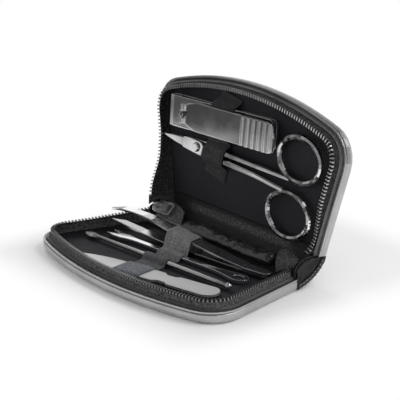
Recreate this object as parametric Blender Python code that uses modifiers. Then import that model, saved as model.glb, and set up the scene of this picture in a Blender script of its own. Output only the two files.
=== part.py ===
"""Zipped clamshell manicure case, open on a table, with its nail tools held in elastic loops.

Both halves of the case are built in the same way, in their own frame: X runs along the hinge, the hinge
side is at Y = 0, the front is towards -Y, and Z points out of the half. The lid's frame hangs on the hinge.
Depths are counted from the hinge side towards the front, heights from the outer face of a half.
"""
import math

import bmesh
import bpy
from mathutils import Euler, Matrix, Vector

MM = 0.001

# Zip line of one half, seen from above
HINGE_HALF = 40.7 * MM          # half width at the hinge
CORNER_HALF = 50.9 * MM         # half width where the sides would meet the front arc
CASE_DEPTH = 49.8 * MM          # depth at the middle of the front
CORNER_DEPTH = 0.8193 * CASE_DEPTH      # depth where the sides would meet the front arc
CORNER_RADIUS = 8.0 * MM
SIDE_STEPS = 3
CORNER_STEPS = 6
FRONT_STEPS = 9

# Heights of the layers of one half
ZIP_HEIGHT = 8.3 * MM           # tops of the zip's teeth
ZIP_GAP = 0.3 * MM              # between the two rows of teeth when the case is shut
SHELL_HEIGHT = 4.5 * MM
SHELL_OUT = 3.8 * MM            # the shell's side, outside the zip line
SHELL_WALL = 0.6 * MM
SHELL_EDGE = 1.9 * MM           # rounding of the shell's outer edge
GROOVE_DEPTH = 0.35 * MM
GROOVE_DROP = 0.85 * MM         # from the lip down to the groove
CLEARANCE = 0.3 * MM            # between pieces that touch
BAND_WALL = 0.8 * MM
BAND_LEAN = 1.0 * MM            # how far the band leans in above the shell
BAND_RISE = 1.4 * MM            # how far it stands above the shell
TAPE_WALL = 0.6 * MM
LINING_TOP = 3.0 * MM
LINING_BACK = 1.5 * MM          # the lining panel ends this far from the hinge side
LINING_ROUND = 0.6 * MM

# Zip teeth
TOOTH_PITCH = 2.2 * MM
TOOTH_LENGTH = 1.2 * MM
TOOTH_HALF_WIDTH = 0.9 * MM
TOOTH_HEIGHT = 0.6 * MM
TOOTH_RAIL = 0.5 * MM
ZIP_START = 0.7 * MM            # the tape and teeth end this far from the hinge side

# Hinge: the soft spine turns about one line behind the base
HINGE_BACK = 4.25 * MM
HINGE_UP = 7.1 * MM
LID_OPEN = math.radians(95.7)
CLOSED_HEIGHT = 2 * ZIP_HEIGHT + ZIP_GAP

# Base frame: the origin of the part is the middle of the base's flat underside
BASE_BACK = (CASE_DEPTH + SHELL_OUT) / 2

ALUMINIUM = "satin_aluminium"
PU_LEATHER = "black_pu_leather"
ZIP_TAPE = "woven_zip_tape"
ZIP_METAL = "dark_zip_metal"
LINING = "black_lining"
ELASTIC = "grey_elastic"
CHROME = "bright_chrome"
FILE_METAL = "matte_file_metal"
MATERIALS = {
    ALUMINIUM: ((0.44, 0.44, 0.45), 0.34, 1.0),
    PU_LEATHER: ((0.020, 0.020, 0.022), 0.45, 0.0),
    ZIP_TAPE: ((0.012, 0.012, 0.013), 0.85, 0.0),
    ZIP_METAL: ((0.10, 0.10, 0.11), 0.35, 1.0),
    LINING: ((0.012, 0.011, 0.014), 0.55, 0.0),
    ELASTIC: ((0.13, 0.13, 0.14), 0.9, 0.0),
    CHROME: ((0.62, 0.62, 0.64), 0.12, 1.0),
    FILE_METAL: ((0.52, 0.52, 0.54), 0.5, 1.0),
}


def clear_scene():
    """Starts from an empty scene with one collection for the pieces and one for the cutters."""
    for item in list(bpy.data.objects):
        bpy.data.objects.remove(item, do_unlink=True)
    pieces = bpy.data.collections.new("manicure_set_case")
    cutters = bpy.data.collections.new("cutters")
    for collection in (pieces, cutters):
        bpy.context.scene.collection.children.link(collection)
    return pieces, cutters


def make_materials():
    for name, (colour, roughness, metallic) in MATERIALS.items():
        material = bpy.data.materials.new(name)
        material.use_nodes = True
        shader = material.node_tree.nodes["Principled BSDF"]
        shader.inputs["Base Color"].default_value = (*colour, 1.0)
        shader.inputs["Roughness"].default_value = roughness
        shader.inputs["Metallic"].default_value = metallic
        material.diffuse_color = (*colour, 1.0)


PIECES, CUTTERS = clear_scene()
make_materials()


def empty(name, location, rotation=(0.0, 0.0, 0.0), parent=None):
    frame = bpy.data.objects.new(name, None)
    frame.empty_display_size = 10 * MM
    frame.location = location
    frame.rotation_euler = rotation
    frame.parent = parent
    PIECES.objects.link(frame)
    return frame


def place(name, data, material, parent, location=(0.0, 0.0, 0.0), rotation=(0.0, 0.0, 0.0)):
    """Adds a mesh or curve to the case as one named piece."""
    piece = bpy.data.objects.new(name, data)
    piece.location = location
    piece.rotation_euler = rotation
    piece.parent = parent
    data.materials.clear()
    data.materials.append(bpy.data.materials[material])
    PIECES.objects.link(piece)
    return piece


def shade(piece, angle=35.0):
    piece.data.shade_smooth()
    piece.data.set_sharp_from_angle(angle=math.radians(angle))


def as_cutter(name, data, parent=None, location=(0.0, 0.0, 0.0), rotation=(0.0, 0.0, 0.0)):
    cutter = bpy.data.objects.new(name, data)
    cutter.location = location
    cutter.rotation_euler = rotation
    cutter.parent = parent
    cutter.hide_render = True
    cutter.display_type = "WIRE"
    CUTTERS.objects.link(cutter)
    return cutter


def boolean(piece, cutter, operation):
    modifier = piece.modifiers.new(cutter.name, "BOOLEAN")
    modifier.operation = operation
    modifier.object = cutter
    return modifier


def mesh_from(name, fill):
    """A mesh made by a function that works on a bmesh."""
    mesh = bpy.data.meshes.new(name)
    bm = bmesh.new()
    fill(bm)
    bm.normal_update()
    bm.to_mesh(mesh)
    bm.free()
    return mesh


def mesh_of_curve(name, curve):
    """Turns a filled curve into a closed mesh and removes the curve."""
    holder = bpy.data.objects.new(name, curve)
    bpy.context.scene.collection.objects.link(holder)
    bpy.context.view_layer.update()
    evaluated = holder.evaluated_get(bpy.context.evaluated_depsgraph_get())
    mesh = bpy.data.meshes.new_from_object(evaluated)
    mesh.name = name
    bpy.data.objects.remove(holder, do_unlink=True)
    bm = bmesh.new()
    bm.from_mesh(mesh)
    bmesh.ops.remove_doubles(bm, verts=bm.verts, dist=0.001 * MM)
    bmesh.ops.recalc_face_normals(bm, faces=bm.faces)
    bm.to_mesh(mesh)
    bm.free()
    return mesh


def flat_curve(name, outlines, thickness):
    """A flat plate with the given outline, and holes where more outlines are given."""
    curve = bpy.data.curves.new(name, "CURVE")
    curve.dimensions = "2D"
    curve.fill_mode = "BOTH"
    curve.extrude = thickness / 2
    for outline in outlines:
        spline = curve.splines.new("POLY")
        spline.points.add(len(outline) - 1)
        for point, (x, y) in zip(spline.points, outline):
            point.co = (x, y, 0.0, 1.0)
        spline.use_cyclic_u = True
    return curve


def plate(name, outlines, thickness):
    return mesh_of_curve(name, flat_curve(name, outlines, thickness))


def turned_to_side(mesh):
    """Stands a flat outline up: its second axis becomes Z and its thickness lies along Y."""
    mesh.transform(Matrix.Rotation(math.radians(90), 4, "X"))
    return mesh


def turned_to_section(mesh):
    """Stands a flat outline up across the hinge: its axes become Y and Z, its thickness lies along X."""
    mesh.transform(Euler((math.radians(90), 0, math.radians(90))).to_matrix().to_4x4())
    return mesh


def arc(centre, radius_x, radius_y, start, end, steps):
    """Points of an ellipse's arc, in degrees, both ends included."""
    points = []
    for index in range(steps + 1):
        angle = math.radians(start + (end - start) * index / steps)
        points.append((centre[0] + radius_x * math.cos(angle), centre[1] + radius_y * math.sin(angle)))
    return points


def bezier(start, bend, end, steps):
    """Points of a curve that leaves start towards bend and reaches end from bend, both ends included."""
    points = []
    for index in range(steps + 1):
        t = index / steps
        a, b, c = (1 - t) ** 2, 2 * t * (1 - t), t ** 2
        points.append(tuple(a * p + b * q + c * r for p, q, r in zip(start, bend, end)))
    return points


def half_outline(offset, back):
    """Points (x, depth) of the zip line moved out by offset, from the hinge to the middle of the front."""
    rise = CASE_DEPTH - CORNER_DEPTH
    front_radius = (CORNER_HALF ** 2 + rise ** 2) / (2 * rise)
    front_centre = Vector((0.0, CASE_DEPTH - front_radius))
    slant = math.atan2(CORNER_HALF - HINGE_HALF, CORNER_DEPTH)
    along = Vector((math.sin(slant), math.cos(slant)))
    out = Vector((math.cos(slant), -math.sin(slant)))
    first = Vector((HINGE_HALF, 0.0)) - out * CORNER_RADIUS - front_centre
    reach = first.dot(along)
    spare = first.length_squared - (front_radius - CORNER_RADIUS) ** 2
    corner = front_centre + first + along * (math.sqrt(reach ** 2 - spare) - reach)
    side_end = corner + out * (CORNER_RADIUS + offset)
    side_start = side_end - along * ((side_end.y - back) / along.y)
    points = [side_start.lerp(side_end, index / SIDE_STEPS) for index in range(SIDE_STEPS)]
    toward = corner - front_centre
    side_angle = -math.degrees(slant)
    front_angle = math.degrees(math.atan2(toward.y, toward.x))
    corner_reach = CORNER_RADIUS + offset
    points += arc(corner, corner_reach, corner_reach, side_angle, front_angle, CORNER_STEPS)
    front_reach = front_radius + offset
    points += arc(front_centre, front_reach, front_reach, front_angle, 90.0, FRONT_STEPS)[1:]
    return [(point[0], point[1]) for point in points]


def outline(offset, back=0.0):
    """Points (x, y) all round one half, from its right hinge end by the front to its left hinge end."""
    right = half_outline(offset, back)
    left = [(-x, depth) for x, depth in reversed(right[:-1])]
    return [(x, -depth) for x, depth in right + left]


def rows_to_faces(bm, rows):
    """Joins rows of equal length with quads and returns the rows' vertices."""
    made = [[bm.verts.new(point) for point in row] for row in rows]
    for low, high in zip(made, made[1:]):
        for index in range(len(low) - 1):
            bm.faces.new((low[index], low[index + 1], high[index + 1], high[index]))
    return made


def solidify(piece, thickness, direction=-1.0):
    modifier = piece.modifiers.new("wall", "SOLIDIFY")
    modifier.thickness = thickness
    modifier.offset = direction
    modifier.use_even_offset = True
    return modifier


def wall_mesh(name, profile, back, floor=False):
    """A sheet that follows the outline; profile holds (offset, height) from low to high."""
    def fill(bm):
        rows = [[(x, y, height) for x, y in outline(offset, back)] for offset, height in profile]
        made = rows_to_faces(bm, rows)
        if floor:
            bm.faces.new(list(reversed(made[0])))
        bmesh.ops.recalc_face_normals(bm, faces=bm.faces)
    return mesh_from(name, fill)


def shell_profile():
    """The pan's outside: rounded edge, upright side, a groove under the lip."""
    centre = (SHELL_OUT - SHELL_EDGE, SHELL_EDGE)
    groove = SHELL_HEIGHT - GROOVE_DROP
    profile = arc(centre, SHELL_EDGE, SHELL_EDGE, -90.0, 0.0, 3)
    profile.append((SHELL_OUT, groove - GROOVE_DEPTH))
    profile.append((SHELL_OUT - GROOVE_DEPTH, groove))
    profile.append((SHELL_OUT, groove + GROOVE_DEPTH))
    profile.append((SHELL_OUT, SHELL_HEIGHT))
    return profile


def make_shell(half, frame):
    piece = place(half + "_shell", wall_mesh(half + "_shell", shell_profile(), 0.0, floor=True),
                  ALUMINIUM, frame)
    solidify(piece, SHELL_WALL)
    shade(piece)


# The band's outside stands inside the shell, the tape's outside inside the band
BAND_OUT = SHELL_OUT - SHELL_WALL - GROOVE_DEPTH - CLEARANCE
TAPE_OUT = BAND_OUT - BAND_WALL - CLEARANCE
LINING_OUT = BAND_OUT - BAND_WALL - CLEARANCE
LAYER_FOOT = SHELL_WALL + CLEARANCE


def make_band(half, frame):
    profile = [(BAND_OUT, LAYER_FOOT), (BAND_OUT, SHELL_HEIGHT),
               (BAND_OUT - BAND_LEAN, SHELL_HEIGHT + BAND_RISE)]
    piece = place(half + "_side_band", wall_mesh(half + "_side_band", profile, 0.0), PU_LEATHER, frame)
    solidify(piece, BAND_WALL)
    shade(piece)


def tape_top():
    return ZIP_HEIGHT - TOOTH_HEIGHT - TOOTH_RAIL - CLEARANCE


def make_tape(half, frame):
    """The woven tape rises from inside the band and leans in to the teeth."""
    foot = LINING_TOP + CLEARANCE
    bend = SHELL_HEIGHT - CLEARANCE
    profile = [(TAPE_OUT, foot), (TAPE_OUT, bend),
               (TAPE_OUT - BAND_LEAN, SHELL_HEIGHT + BAND_RISE), (TAPE_WALL / 2, tape_top())]
    piece = place(half + "_zip_tape", wall_mesh(half + "_zip_tape", profile, ZIP_START), ZIP_TAPE, frame)
    solidify(piece, TAPE_WALL)
    shade(piece)


def walk(points, step):
    """Places at even steps along a line of points, as (position, unit direction)."""
    lengths = [(Vector(b) - Vector(a)).length for a, b in zip(points, points[1:])]
    total = sum(lengths)
    count = int(total / step)
    places = []
    for index in range(count + 1):
        goal = total * index / count
        for a, b, length in zip(points, points[1:], lengths):
            if goal <= length or b is points[-1]:
                direction = (Vector(b) - Vector(a)).normalized()
                places.append((Vector(a) + direction * goal, direction))
                break
            goal -= length
    return places


def teeth_mesh(name):
    """A low rail along the zip line with one tooth raised in every pitch."""
    def fill(bm):
        points = outline(0.0, ZIP_START)
        share = TOOTH_LENGTH / TOOTH_PITCH
        stops = walk(points, TOOTH_PITCH)
        cuts = []
        for (here, direction), (after, _) in zip(stops, stops[1:]):
            cuts.append((here, direction))
            cuts.append((here.lerp(after, share), direction))
        cuts.append(stops[-1])
        low = ZIP_HEIGHT - TOOTH_HEIGHT - TOOTH_RAIL
        high = ZIP_HEIGHT - TOOTH_HEIGHT
        rings = []
        for here, direction in cuts:
            side = Vector((direction.y, -direction.x)) * TOOTH_HALF_WIDTH
            corners = [(here - side, low), (here + side, low), (here + side, high), (here - side, high)]
            rings.append([bm.verts.new((place.x, place.y, height)) for place, height in corners])
        tops = []
        for index, (ring, following) in enumerate(zip(rings, rings[1:])):
            for edge in range(4):
                after = (edge + 1) % 4
                face = bm.faces.new((ring[edge], ring[after], following[after], following[edge]))
                if edge == 2 and index % 2 == 0:
                    tops.append(face)
        bm.faces.new(list(reversed(rings[0])))
        bm.faces.new(rings[-1])
        bmesh.ops.recalc_face_normals(bm, faces=bm.faces)
        raised = bmesh.ops.extrude_discrete_faces(bm, faces=tops)["faces"]
        corners = {vert for face in raised for vert in face.verts}
        bmesh.ops.translate(bm, verts=list(corners), vec=(0.0, 0.0, TOOTH_HEIGHT))
    return mesh_from(name, fill)


def make_teeth(half, frame):
    place(half + "_zip_teeth", teeth_mesh(half + "_zip_teeth"), ZIP_METAL, frame)


def make_lining(half, frame):
    """A padded panel that fills the half's floor, rounded along its upper edge."""
    def fill(bm):
        low = [bm.verts.new((x, y, LAYER_FOOT)) for x, y in outline(LINING_OUT, LINING_BACK)]
        face = bm.faces.new(low)
        raised = bmesh.ops.extrude_face_region(bm, geom=[face])["geom"]
        top = [item for item in raised if isinstance(item, bmesh.types.BMVert)]
        bmesh.ops.translate(bm, verts=top, vec=(0.0, 0.0, LINING_TOP - LAYER_FOOT))
        rim = [edge for edge in bm.edges if all(vert in top for vert in edge.verts)]
        bmesh.ops.recalc_face_normals(bm, faces=bm.faces)
        bmesh.ops.bevel(bm, geom=rim, offset=LINING_ROUND, segments=2, profile=0.5, affect="EDGES")
    piece = place(half + "_lining", mesh_from(half + "_lining", fill), LINING, frame)
    shade(piece)


def make_half(half, frame):
    make_shell(half, frame)
    make_band(half, frame)
    make_tape(half, frame)
    make_teeth(half, frame)
    make_lining(half, frame)


# Frames of the two halves
BASE = empty("base_frame", (0.0, BASE_BACK, 0.0))
LID_HINGE = empty("lid_hinge_frame", (0.0, BASE_BACK + HINGE_BACK, HINGE_UP), (-LID_OPEN, 0.0, 0.0))
LID = empty("lid_frame", (0.0, -HINGE_BACK, CLOSED_HEIGHT - HINGE_UP), (0.0, math.pi, 0.0), LID_HINGE)


def on_lid(depth, height):
    """The place (y, z), in the base's frame, of a point of the open lid."""
    y = -depth - HINGE_BACK
    z = CLOSED_HEIGHT - height - HINGE_UP
    turned_y = y * math.cos(LID_OPEN) + z * math.sin(LID_OPEN)
    turned_z = -y * math.sin(LID_OPEN) + z * math.cos(LID_OPEN)
    return (HINGE_BACK + turned_y, HINGE_UP + turned_z)


# Soft pieces of the hinge, all drawn as sections across it in the base's frame
SPINE_THICKNESS = 2.2 * MM
SPINE_SAG = 0.74                        # where the spine's bend lies between the two shells' ends
COVER_THICKNESS = 0.6 * MM
COVER_HOLD = 3.0 * MM                   # how far the inner cover reaches over each lining
FLAP_WIDTH = 5.8 * MM
FLAP_THICKNESS = 2.3 * MM
FLAP_TILT = 24.0
FLAP_LIFT = 2.6 * MM                    # the flap's middle above the inner cover's foot
FLAP_START = -0.59                      # ends of the flap, in half widths of the hinge
FLAP_END = 0.70
GUSSET_WALL = 0.7 * MM
GUSSET_OUT = 1.9 * MM                   # outside the zip line's end
PANEL_WALL = 0.7 * MM


def section_piece(name, points, start, end, material):
    mesh = turned_to_section(plate(name, [points], end - start))
    mesh.transform(Matrix.Translation(((start + end) / 2, 0.0, 0.0)))
    piece = place(name, mesh, material, BASE)
    shade(piece, 50.0)
    return piece


def spine_lines():
    """Outer and inner line of the spine, from the base's end to the lid's."""
    lid_outer = on_lid(-CLEARANCE, CLEARANCE)
    lid_inner = on_lid(-CLEARANCE, SPINE_THICKNESS + CLEARANCE)
    bend = (lid_outer[0] * SPINE_SAG, lid_outer[1] * (1 - SPINE_SAG) * 0.6)
    inner_bend = (bend[0] - SPINE_THICKNESS * 0.7, bend[1] + SPINE_THICKNESS)
    outer = bezier((CLEARANCE, CLEARANCE), bend, lid_outer, 8)
    inner = bezier((CLEARANCE, SPINE_THICKNESS + CLEARANCE), inner_bend, lid_inner, 8)
    return outer, inner


def hinge_half(offset):
    return half_outline(offset, 0.0)[0][0]


def make_spine():
    """The leather back of the case, bowed out between the two shells' ends."""
    outer, inner = spine_lines()
    half = hinge_half(SHELL_OUT) - CLEARANCE
    section_piece("spine", outer + inner[::-1], -half, half, PU_LEATHER)


def make_end_panels():
    """The leather ends that fan out from the spine to the zip, beside the hinge."""
    inner = spine_lines()[1]
    rise = SHELL_HEIGHT + BAND_RISE
    outside = [(y - CLEARANCE * 1.5, z + CLEARANCE * 2) for y, z in inner[1:-1]]
    outside = [(CLEARANCE, SPINE_THICKNESS + 3 * CLEARANCE)] + outside
    lid_foot = on_lid(-CLEARANCE, SPINE_THICKNESS + 3 * CLEARANCE)
    lid_top = on_lid(-CLEARANCE, rise)
    inside = bezier(lid_top, (HINGE_BACK, HINGE_UP + SPINE_THICKNESS), (CLEARANCE, rise), 5)
    middle = hinge_half(SHELL_OUT) - 2 * CLEARANCE - PANEL_WALL / 2
    for name, side in (("right_end_panel", 1.0), ("left_end_panel", -1.0)):
        start = side * middle - PANEL_WALL / 2
        section_piece(name, outside + [lid_foot] + inside, start, start + PANEL_WALL, PU_LEATHER)


def make_hinge_cover():
    """The thin inner cover, sewn down over both linings and loose over the hinge."""
    half = hinge_half(0.0) - 2 * CLEARANCE
    height = LINING_TOP + CLEARANCE
    low = [(-COVER_HOLD, height), on_lid(COVER_HOLD, height)]
    high = [(-COVER_HOLD, height + COVER_THICKNESS), on_lid(COVER_HOLD, height + COVER_THICKNESS)]
    bend = (low[1][0] * 0.93, height)
    inner_bend = (bend[0] - COVER_THICKNESS * 1.2, bend[1] + COVER_THICKNESS * 1.2)
    outside = bezier(low[0], bend, low[1], 8)
    inside = bezier(high[1], inner_bend, high[0], 8)
    section_piece("hinge_cover", outside + inside, -half, half, PU_LEATHER)


def make_hinge_flap():
    """The padded roll that lies along the hinge."""
    radius = FLAP_THICKNESS / 2
    run = FLAP_WIDTH / 2 - radius
    points = arc((run, 0.0), radius, radius, -90.0, 90.0, 6)
    points += arc((-run, 0.0), radius, radius, 90.0, 270.0, 6)
    tilt = Matrix.Rotation(math.radians(FLAP_TILT), 2)
    centre = Vector((HINGE_BACK * 0.65, LINING_TOP + CLEARANCE + COVER_THICKNESS + FLAP_LIFT))
    moved = [tuple(tilt @ Vector(point) + centre) for point in points]
    half = hinge_half(0.0)
    section_piece("hinge_flap", moved, FLAP_START * half, FLAP_END * half, PU_LEATHER)


def make_gussets():
    """The tape's folded ends, which run from the base's zip to the lid's at both ends of the hinge."""
    foot = LINING_TOP + 2 * CLEARANCE
    zip_foot = ZIP_HEIGHT - TOOTH_HEIGHT
    lid_foot = on_lid(0.0, foot)
    lid_zip = on_lid(0.0, zip_foot)
    start = (CLEARANCE, foot)
    outer = bezier(start, (lid_foot[0] * 0.86, foot * 1.28), lid_foot, 8)
    fold = (HINGE_BACK / 2, zip_foot + (lid_zip[1] - zip_foot) * 1.2)
    high = [lid_zip] + bezier((lid_zip[0] * 0.55, fold[1]), fold, (fold[0], zip_foot + 1.8 * MM), 4)
    high.append((CLEARANCE, zip_foot))
    under_slider = (HINGE_BACK + 1.2 * MM, foot - 0.6 * MM)
    low = bezier(lid_zip, under_slider, (CLEARANCE, zip_foot), 6)
    middle = hinge_half(GUSSET_OUT)
    for name, side, inner in (("right_gusset", 1.0, high), ("left_gusset", -1.0, low)):
        start_x = side * middle - GUSSET_WALL / 2
        section_piece(name, outer + inner, start_x, start_x + GUSSET_WALL, ZIP_TAPE)


# Zip slider, parked at the left end of the hinge, and its tab
SLIDER_PLACE = (-HINGE_HALF + 0.5 * MM, HINGE_BACK - 0.55 * MM, HINGE_UP + 1.05 * MM)
SLIDER_TURN = 45.0                      # it faces up and to the front, between the two rows of teeth
SLIDER_SIZE = (4.8 * MM, 4.6 * MM, 1.8 * MM)
BRIDGE_PLACE = -0.8 * MM                # along the slider
BRIDGE_RADIUS = 1.6 * MM
BRIDGE_WIRE = 0.45 * MM
TAB_LENGTH = 11.4 * MM
TAB_WIDTH = 4.8 * MM
TAB_THICKNESS = 0.8 * MM
TAB_BAR = 1.6 * MM                      # the tab's rounded end, which lies under the bridge
TAB_TILT = 4.0
TAB_WINDOW = 2.6 * MM


def box_mesh(name, size, bevel=0.0, segments=1):
    def fill(bm):
        bmesh.ops.create_cube(bm, size=1.0)
        bmesh.ops.scale(bm, verts=bm.verts, vec=size)
        if bevel:
            bmesh.ops.bevel(bm, geom=list(bm.edges), offset=bevel, segments=segments, profile=0.5,
                            affect="EDGES")
    return mesh_from(name, fill)


def wire_mesh(name, points, radius, closed=False, sides=2):
    """A round bar along a line of points, with closed ends."""
    curve = bpy.data.curves.new(name, "CURVE")
    curve.dimensions = "3D"
    curve.bevel_depth = radius
    curve.bevel_resolution = sides
    curve.use_fill_caps = True
    spline = curve.splines.new("POLY")
    spline.points.add(len(points) - 1)
    for point, place_at in zip(spline.points, points):
        point.co = (*place_at, 1.0)
    spline.use_cyclic_u = closed
    return mesh_of_curve(name, curve)


def make_slider():
    """The slider's body with an arched bridge, and the tab whose end bar lies under the bridge."""
    body = box_mesh("zip_slider", SLIDER_SIZE, 0.6 * MM, 2)
    frame = empty("slider_frame", SLIDER_PLACE, (math.radians(SLIDER_TURN), 0.0, 0.0), BASE)
    piece = place("zip_slider", body, ZIP_METAL, frame)
    shade(piece)
    top = SLIDER_SIZE[2] / 2
    lift = CLEARANCE + TAB_BAR / 2
    rise = lift + TAB_THICKNESS / 2 + 2 * CLEARANCE + BRIDGE_WIRE
    middle = BRIDGE_PLACE
    points = [(x, 0.0, z + top) for x, z in arc((middle, 0.0), BRIDGE_RADIUS, rise, 0.0, 180.0, 8)]
    points.insert(0, (middle + BRIDGE_RADIUS, 0.0, top - BRIDGE_WIRE))
    points.append((middle - BRIDGE_RADIUS, 0.0, top - BRIDGE_WIRE))
    bridge = as_cutter("bridge", wire_mesh("bridge", points, BRIDGE_WIRE), frame)
    boolean(piece, bridge, "UNION")
    half = TAB_WIDTH / 2
    bar = TAB_BAR / 2
    end = TAB_LENGTH - bar
    outer = arc((half - bar, 0.0), half, half, 180.0, 270.0, 7)
    outer += arc((end - 0.8 * MM, -half + 0.8 * MM), 0.8 * MM, 0.8 * MM, -90.0, 0.0, 3)
    outer += [(x, -y) for x, y in reversed(outer[1:])]
    window_half = BRIDGE_WIRE + 0.3 * MM
    window = [(bar, -window_half), (bar + TAB_WINDOW, -window_half), (bar + TAB_WINDOW, window_half),
              (bar, window_half)]
    tab = plate("zip_tab", [outer, window], TAB_THICKNESS)
    place("zip_tab", tab, ZIP_METAL, frame, (BRIDGE_PLACE, 0.0, top + lift), (0.0, -math.radians(TAB_TILT), 0.0))


# Tools: each lies between two points of its half. A point is a share of the half width there and a share of
# the depth. A tool is drawn along its own X axis with its right end at the origin, so its other end lies
# towards -X.
TOOL_REST = LINING_TOP + 0.6 * MM      # tools lie on the loops' lower band, just above the lining


def half_width(depth):
    """Half the width of the zip line at a depth, before the corner's rounding."""
    return HINGE_HALF + (CORNER_HALF - HINGE_HALF) * min(depth / CORNER_DEPTH, 1.0)


class Lie:
    """Where a tool lies: its right end, its length and its turn, from two points of the tray."""

    def __init__(self, left, right):
        self.left = (left[0] * half_width(left[1] * CASE_DEPTH), left[1] * CASE_DEPTH)
        self.right = (right[0] * half_width(right[1] * CASE_DEPTH), right[1] * CASE_DEPTH)
        run = (self.right[0] - self.left[0], self.left[1] - self.right[1])
        self.length = math.hypot(*run)
        self.turn = math.atan2(run[1], run[0])

    def depth_at(self, x):
        return self.right[1] + (self.right[0] - x) * math.tan(self.turn)

    def along(self, x):
        """The tool's own X at a place across the case."""
        return (x - self.right[0]) / math.cos(self.turn)

    def in_base(self, height, lift=0.0):
        return {"parent": BASE, "location": (self.right[0], -self.right[1], height),
                "rotation": (0.0, lift, self.turn)}

    def in_lid(self, height, back):
        """In the lid's turned-over frame; back is the share of the length that lies left of the origin."""
        x = self.left[0] + (self.right[0] - self.left[0]) * back
        depth = self.left[1] + (self.right[1] - self.left[1]) * back
        return {"parent": LID, "location": (-x, -depth, height), "rotation": (0.0, 0.0, math.pi - self.turn)}


FILE = Lie((-0.559, 0.914), (0.782, 0.606))
PICK = Lie((-0.892, 0.594), (0.785, 0.466))
TRIMMER = Lie((-0.829, 0.432), (0.778, 0.293))
TWEEZERS = Lie((-0.9525, 0.328), (0.867, 0.112))
SCISSORS = Lie((-0.980, 0.501), (0.951, 0.430))
CLIPPER = Lie((-0.8645, 0.713), (0.4087, 0.752))


def mirrored(points):
    """An outline drawn on one side of the X axis, closed by its mirror image."""
    return points + [(x, -y) for x, y in reversed(points) if abs(y) > 0.001 * MM]


def section_ring(station):
    """Corners of a bar's cross-section: (x, y, z, half width, half thickness, chamfer)."""
    x, y, z, half_y, half_z, cut = station
    corners = [(half_y - cut, -half_z), (half_y, -half_z + cut), (half_y, half_z - cut), (half_y - cut, half_z),
               (-half_y + cut, half_z), (-half_y, half_z - cut), (-half_y, -half_z + cut), (-half_y + cut, -half_z)]
    return [(x, y + side, z + up) for side, up in corners]


def bar_mesh(name, stations):
    """A bar whose cross-section changes from station to station along X."""
    def fill(bm):
        rings = [[bm.verts.new(point) for point in section_ring(station)] for station in stations]
        for ring, following in zip(rings, rings[1:]):
            for index in range(8):
                after = (index + 1) % 8
                bm.faces.new((ring[index], ring[after], following[after], following[index]))
        bm.faces.new(list(reversed(rings[0])))
        bm.faces.new(rings[-1])
        bmesh.ops.recalc_face_normals(bm, faces=bm.faces)
    return mesh_from(name, fill)


def profile_and_plan(name, side, plan, reach, material, placing):
    """A piece whose side view is one outline and whose top view is another."""
    mesh = turned_to_side(plate(name, [side], 2 * reach))
    piece = place(name, mesh, material, **placing)
    cutter = as_cutter(name + "_plan", plate(name + "_plan", [plan], 2 * CASE_DEPTH), **placing)
    boolean(piece, cutter, "INTERSECT")
    return piece


# Nail file
FILE_HALF = 0.087 * CASE_DEPTH
FILE_THICKNESS = 0.9 * MM


def make_file():
    """A flat file with a rounded handle, a waist and a tapered point."""
    long = FILE.length
    half = FILE_HALF
    points = arc((-half, 0.0), half, half, 0.0, 90.0, 5)
    points += [(-long * 0.29, half * 0.95), (-long * 0.31, half * 0.7), (-long * 0.365, half * 0.7),
               (-long * 0.395, half)]
    points += bezier((-long * 0.7, half), (-long * 0.86, half * 0.93), (-long, 0.0), 5)
    height = TOOL_REST + FILE_THICKNESS / 2
    place("nail_file", plate("nail_file", [mirrored(points)], FILE_THICKNESS), FILE_METAL,
          **FILE.in_base(height))


# Ear pick
PICK_RADIUS = 0.95 * MM
PICK_THIN = 0.7 * MM
PICK_KNOB = 1.4 * MM
PICK_REST = LINING_TOP + CLEARANCE + PICK_KNOB     # height of its axis
SPOON_LENGTH = 4.0 * MM
SPOON_HALF = 1.8 * MM
SPOON_THICKNESS = 0.7 * MM


def ball(radii, centre, around, steps):
    def fill(bm):
        bmesh.ops.create_uvsphere(bm, u_segments=around, v_segments=steps, radius=1.0)
        bmesh.ops.scale(bm, verts=bm.verts, vec=radii)
        bmesh.ops.translate(bm, verts=bm.verts, vec=centre)
    return mesh_from("ball", fill)


def make_pick():
    """A thin turned shaft with a knob at one end and a small dished spoon at the other."""
    tip = -PICK.length
    shaft_end = tip + 1.75 * SPOON_LENGTH
    knob = arc((-PICK_KNOB, 0.0), PICK_KNOB, PICK_KNOB, 0.0, 150.0, 7)
    profile = knob + [(-PICK_KNOB * 5, PICK_RADIUS), (shaft_end * 0.6, PICK_RADIUS), (shaft_end, PICK_THIN),
                      (shaft_end - 0.2 * PICK_THIN, 0.0)]

    def fill(bm):
        verts = [bm.verts.new((x, 0.0, max(z, 0.0))) for x, z in profile]
        edges = [bm.edges.new(pair) for pair in zip(verts, verts[1:])]
        bmesh.ops.spin(bm, geom=verts + edges, cent=(0, 0, 0), axis=(1, 0, 0), angle=2 * math.pi, steps=10,
                       use_merge=True)
        bmesh.ops.remove_doubles(bm, verts=bm.verts, dist=0.005 * MM)
        bmesh.ops.recalc_face_normals(bm, faces=bm.faces)
    placing = PICK.in_base(PICK_REST)
    piece = place("ear_pick", mesh_from("ear_pick", fill), CHROME, **placing)
    shade(piece)
    cup = ball((SPOON_LENGTH, SPOON_HALF, SPOON_THICKNESS), (tip + SPOON_LENGTH, 0.0, 0.0), 14, 8)
    hollow = ball((SPOON_LENGTH * 0.75, SPOON_HALF * 0.7, SPOON_THICKNESS * 0.8),
                  (tip + SPOON_LENGTH * 0.9, 0.0, SPOON_THICKNESS * 0.75), 12, 6)
    boolean(piece, as_cutter("spoon", cup, **placing), "UNION")
    boolean(piece, as_cutter("spoon_hollow", hollow, **placing), "DIFFERENCE")


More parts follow.
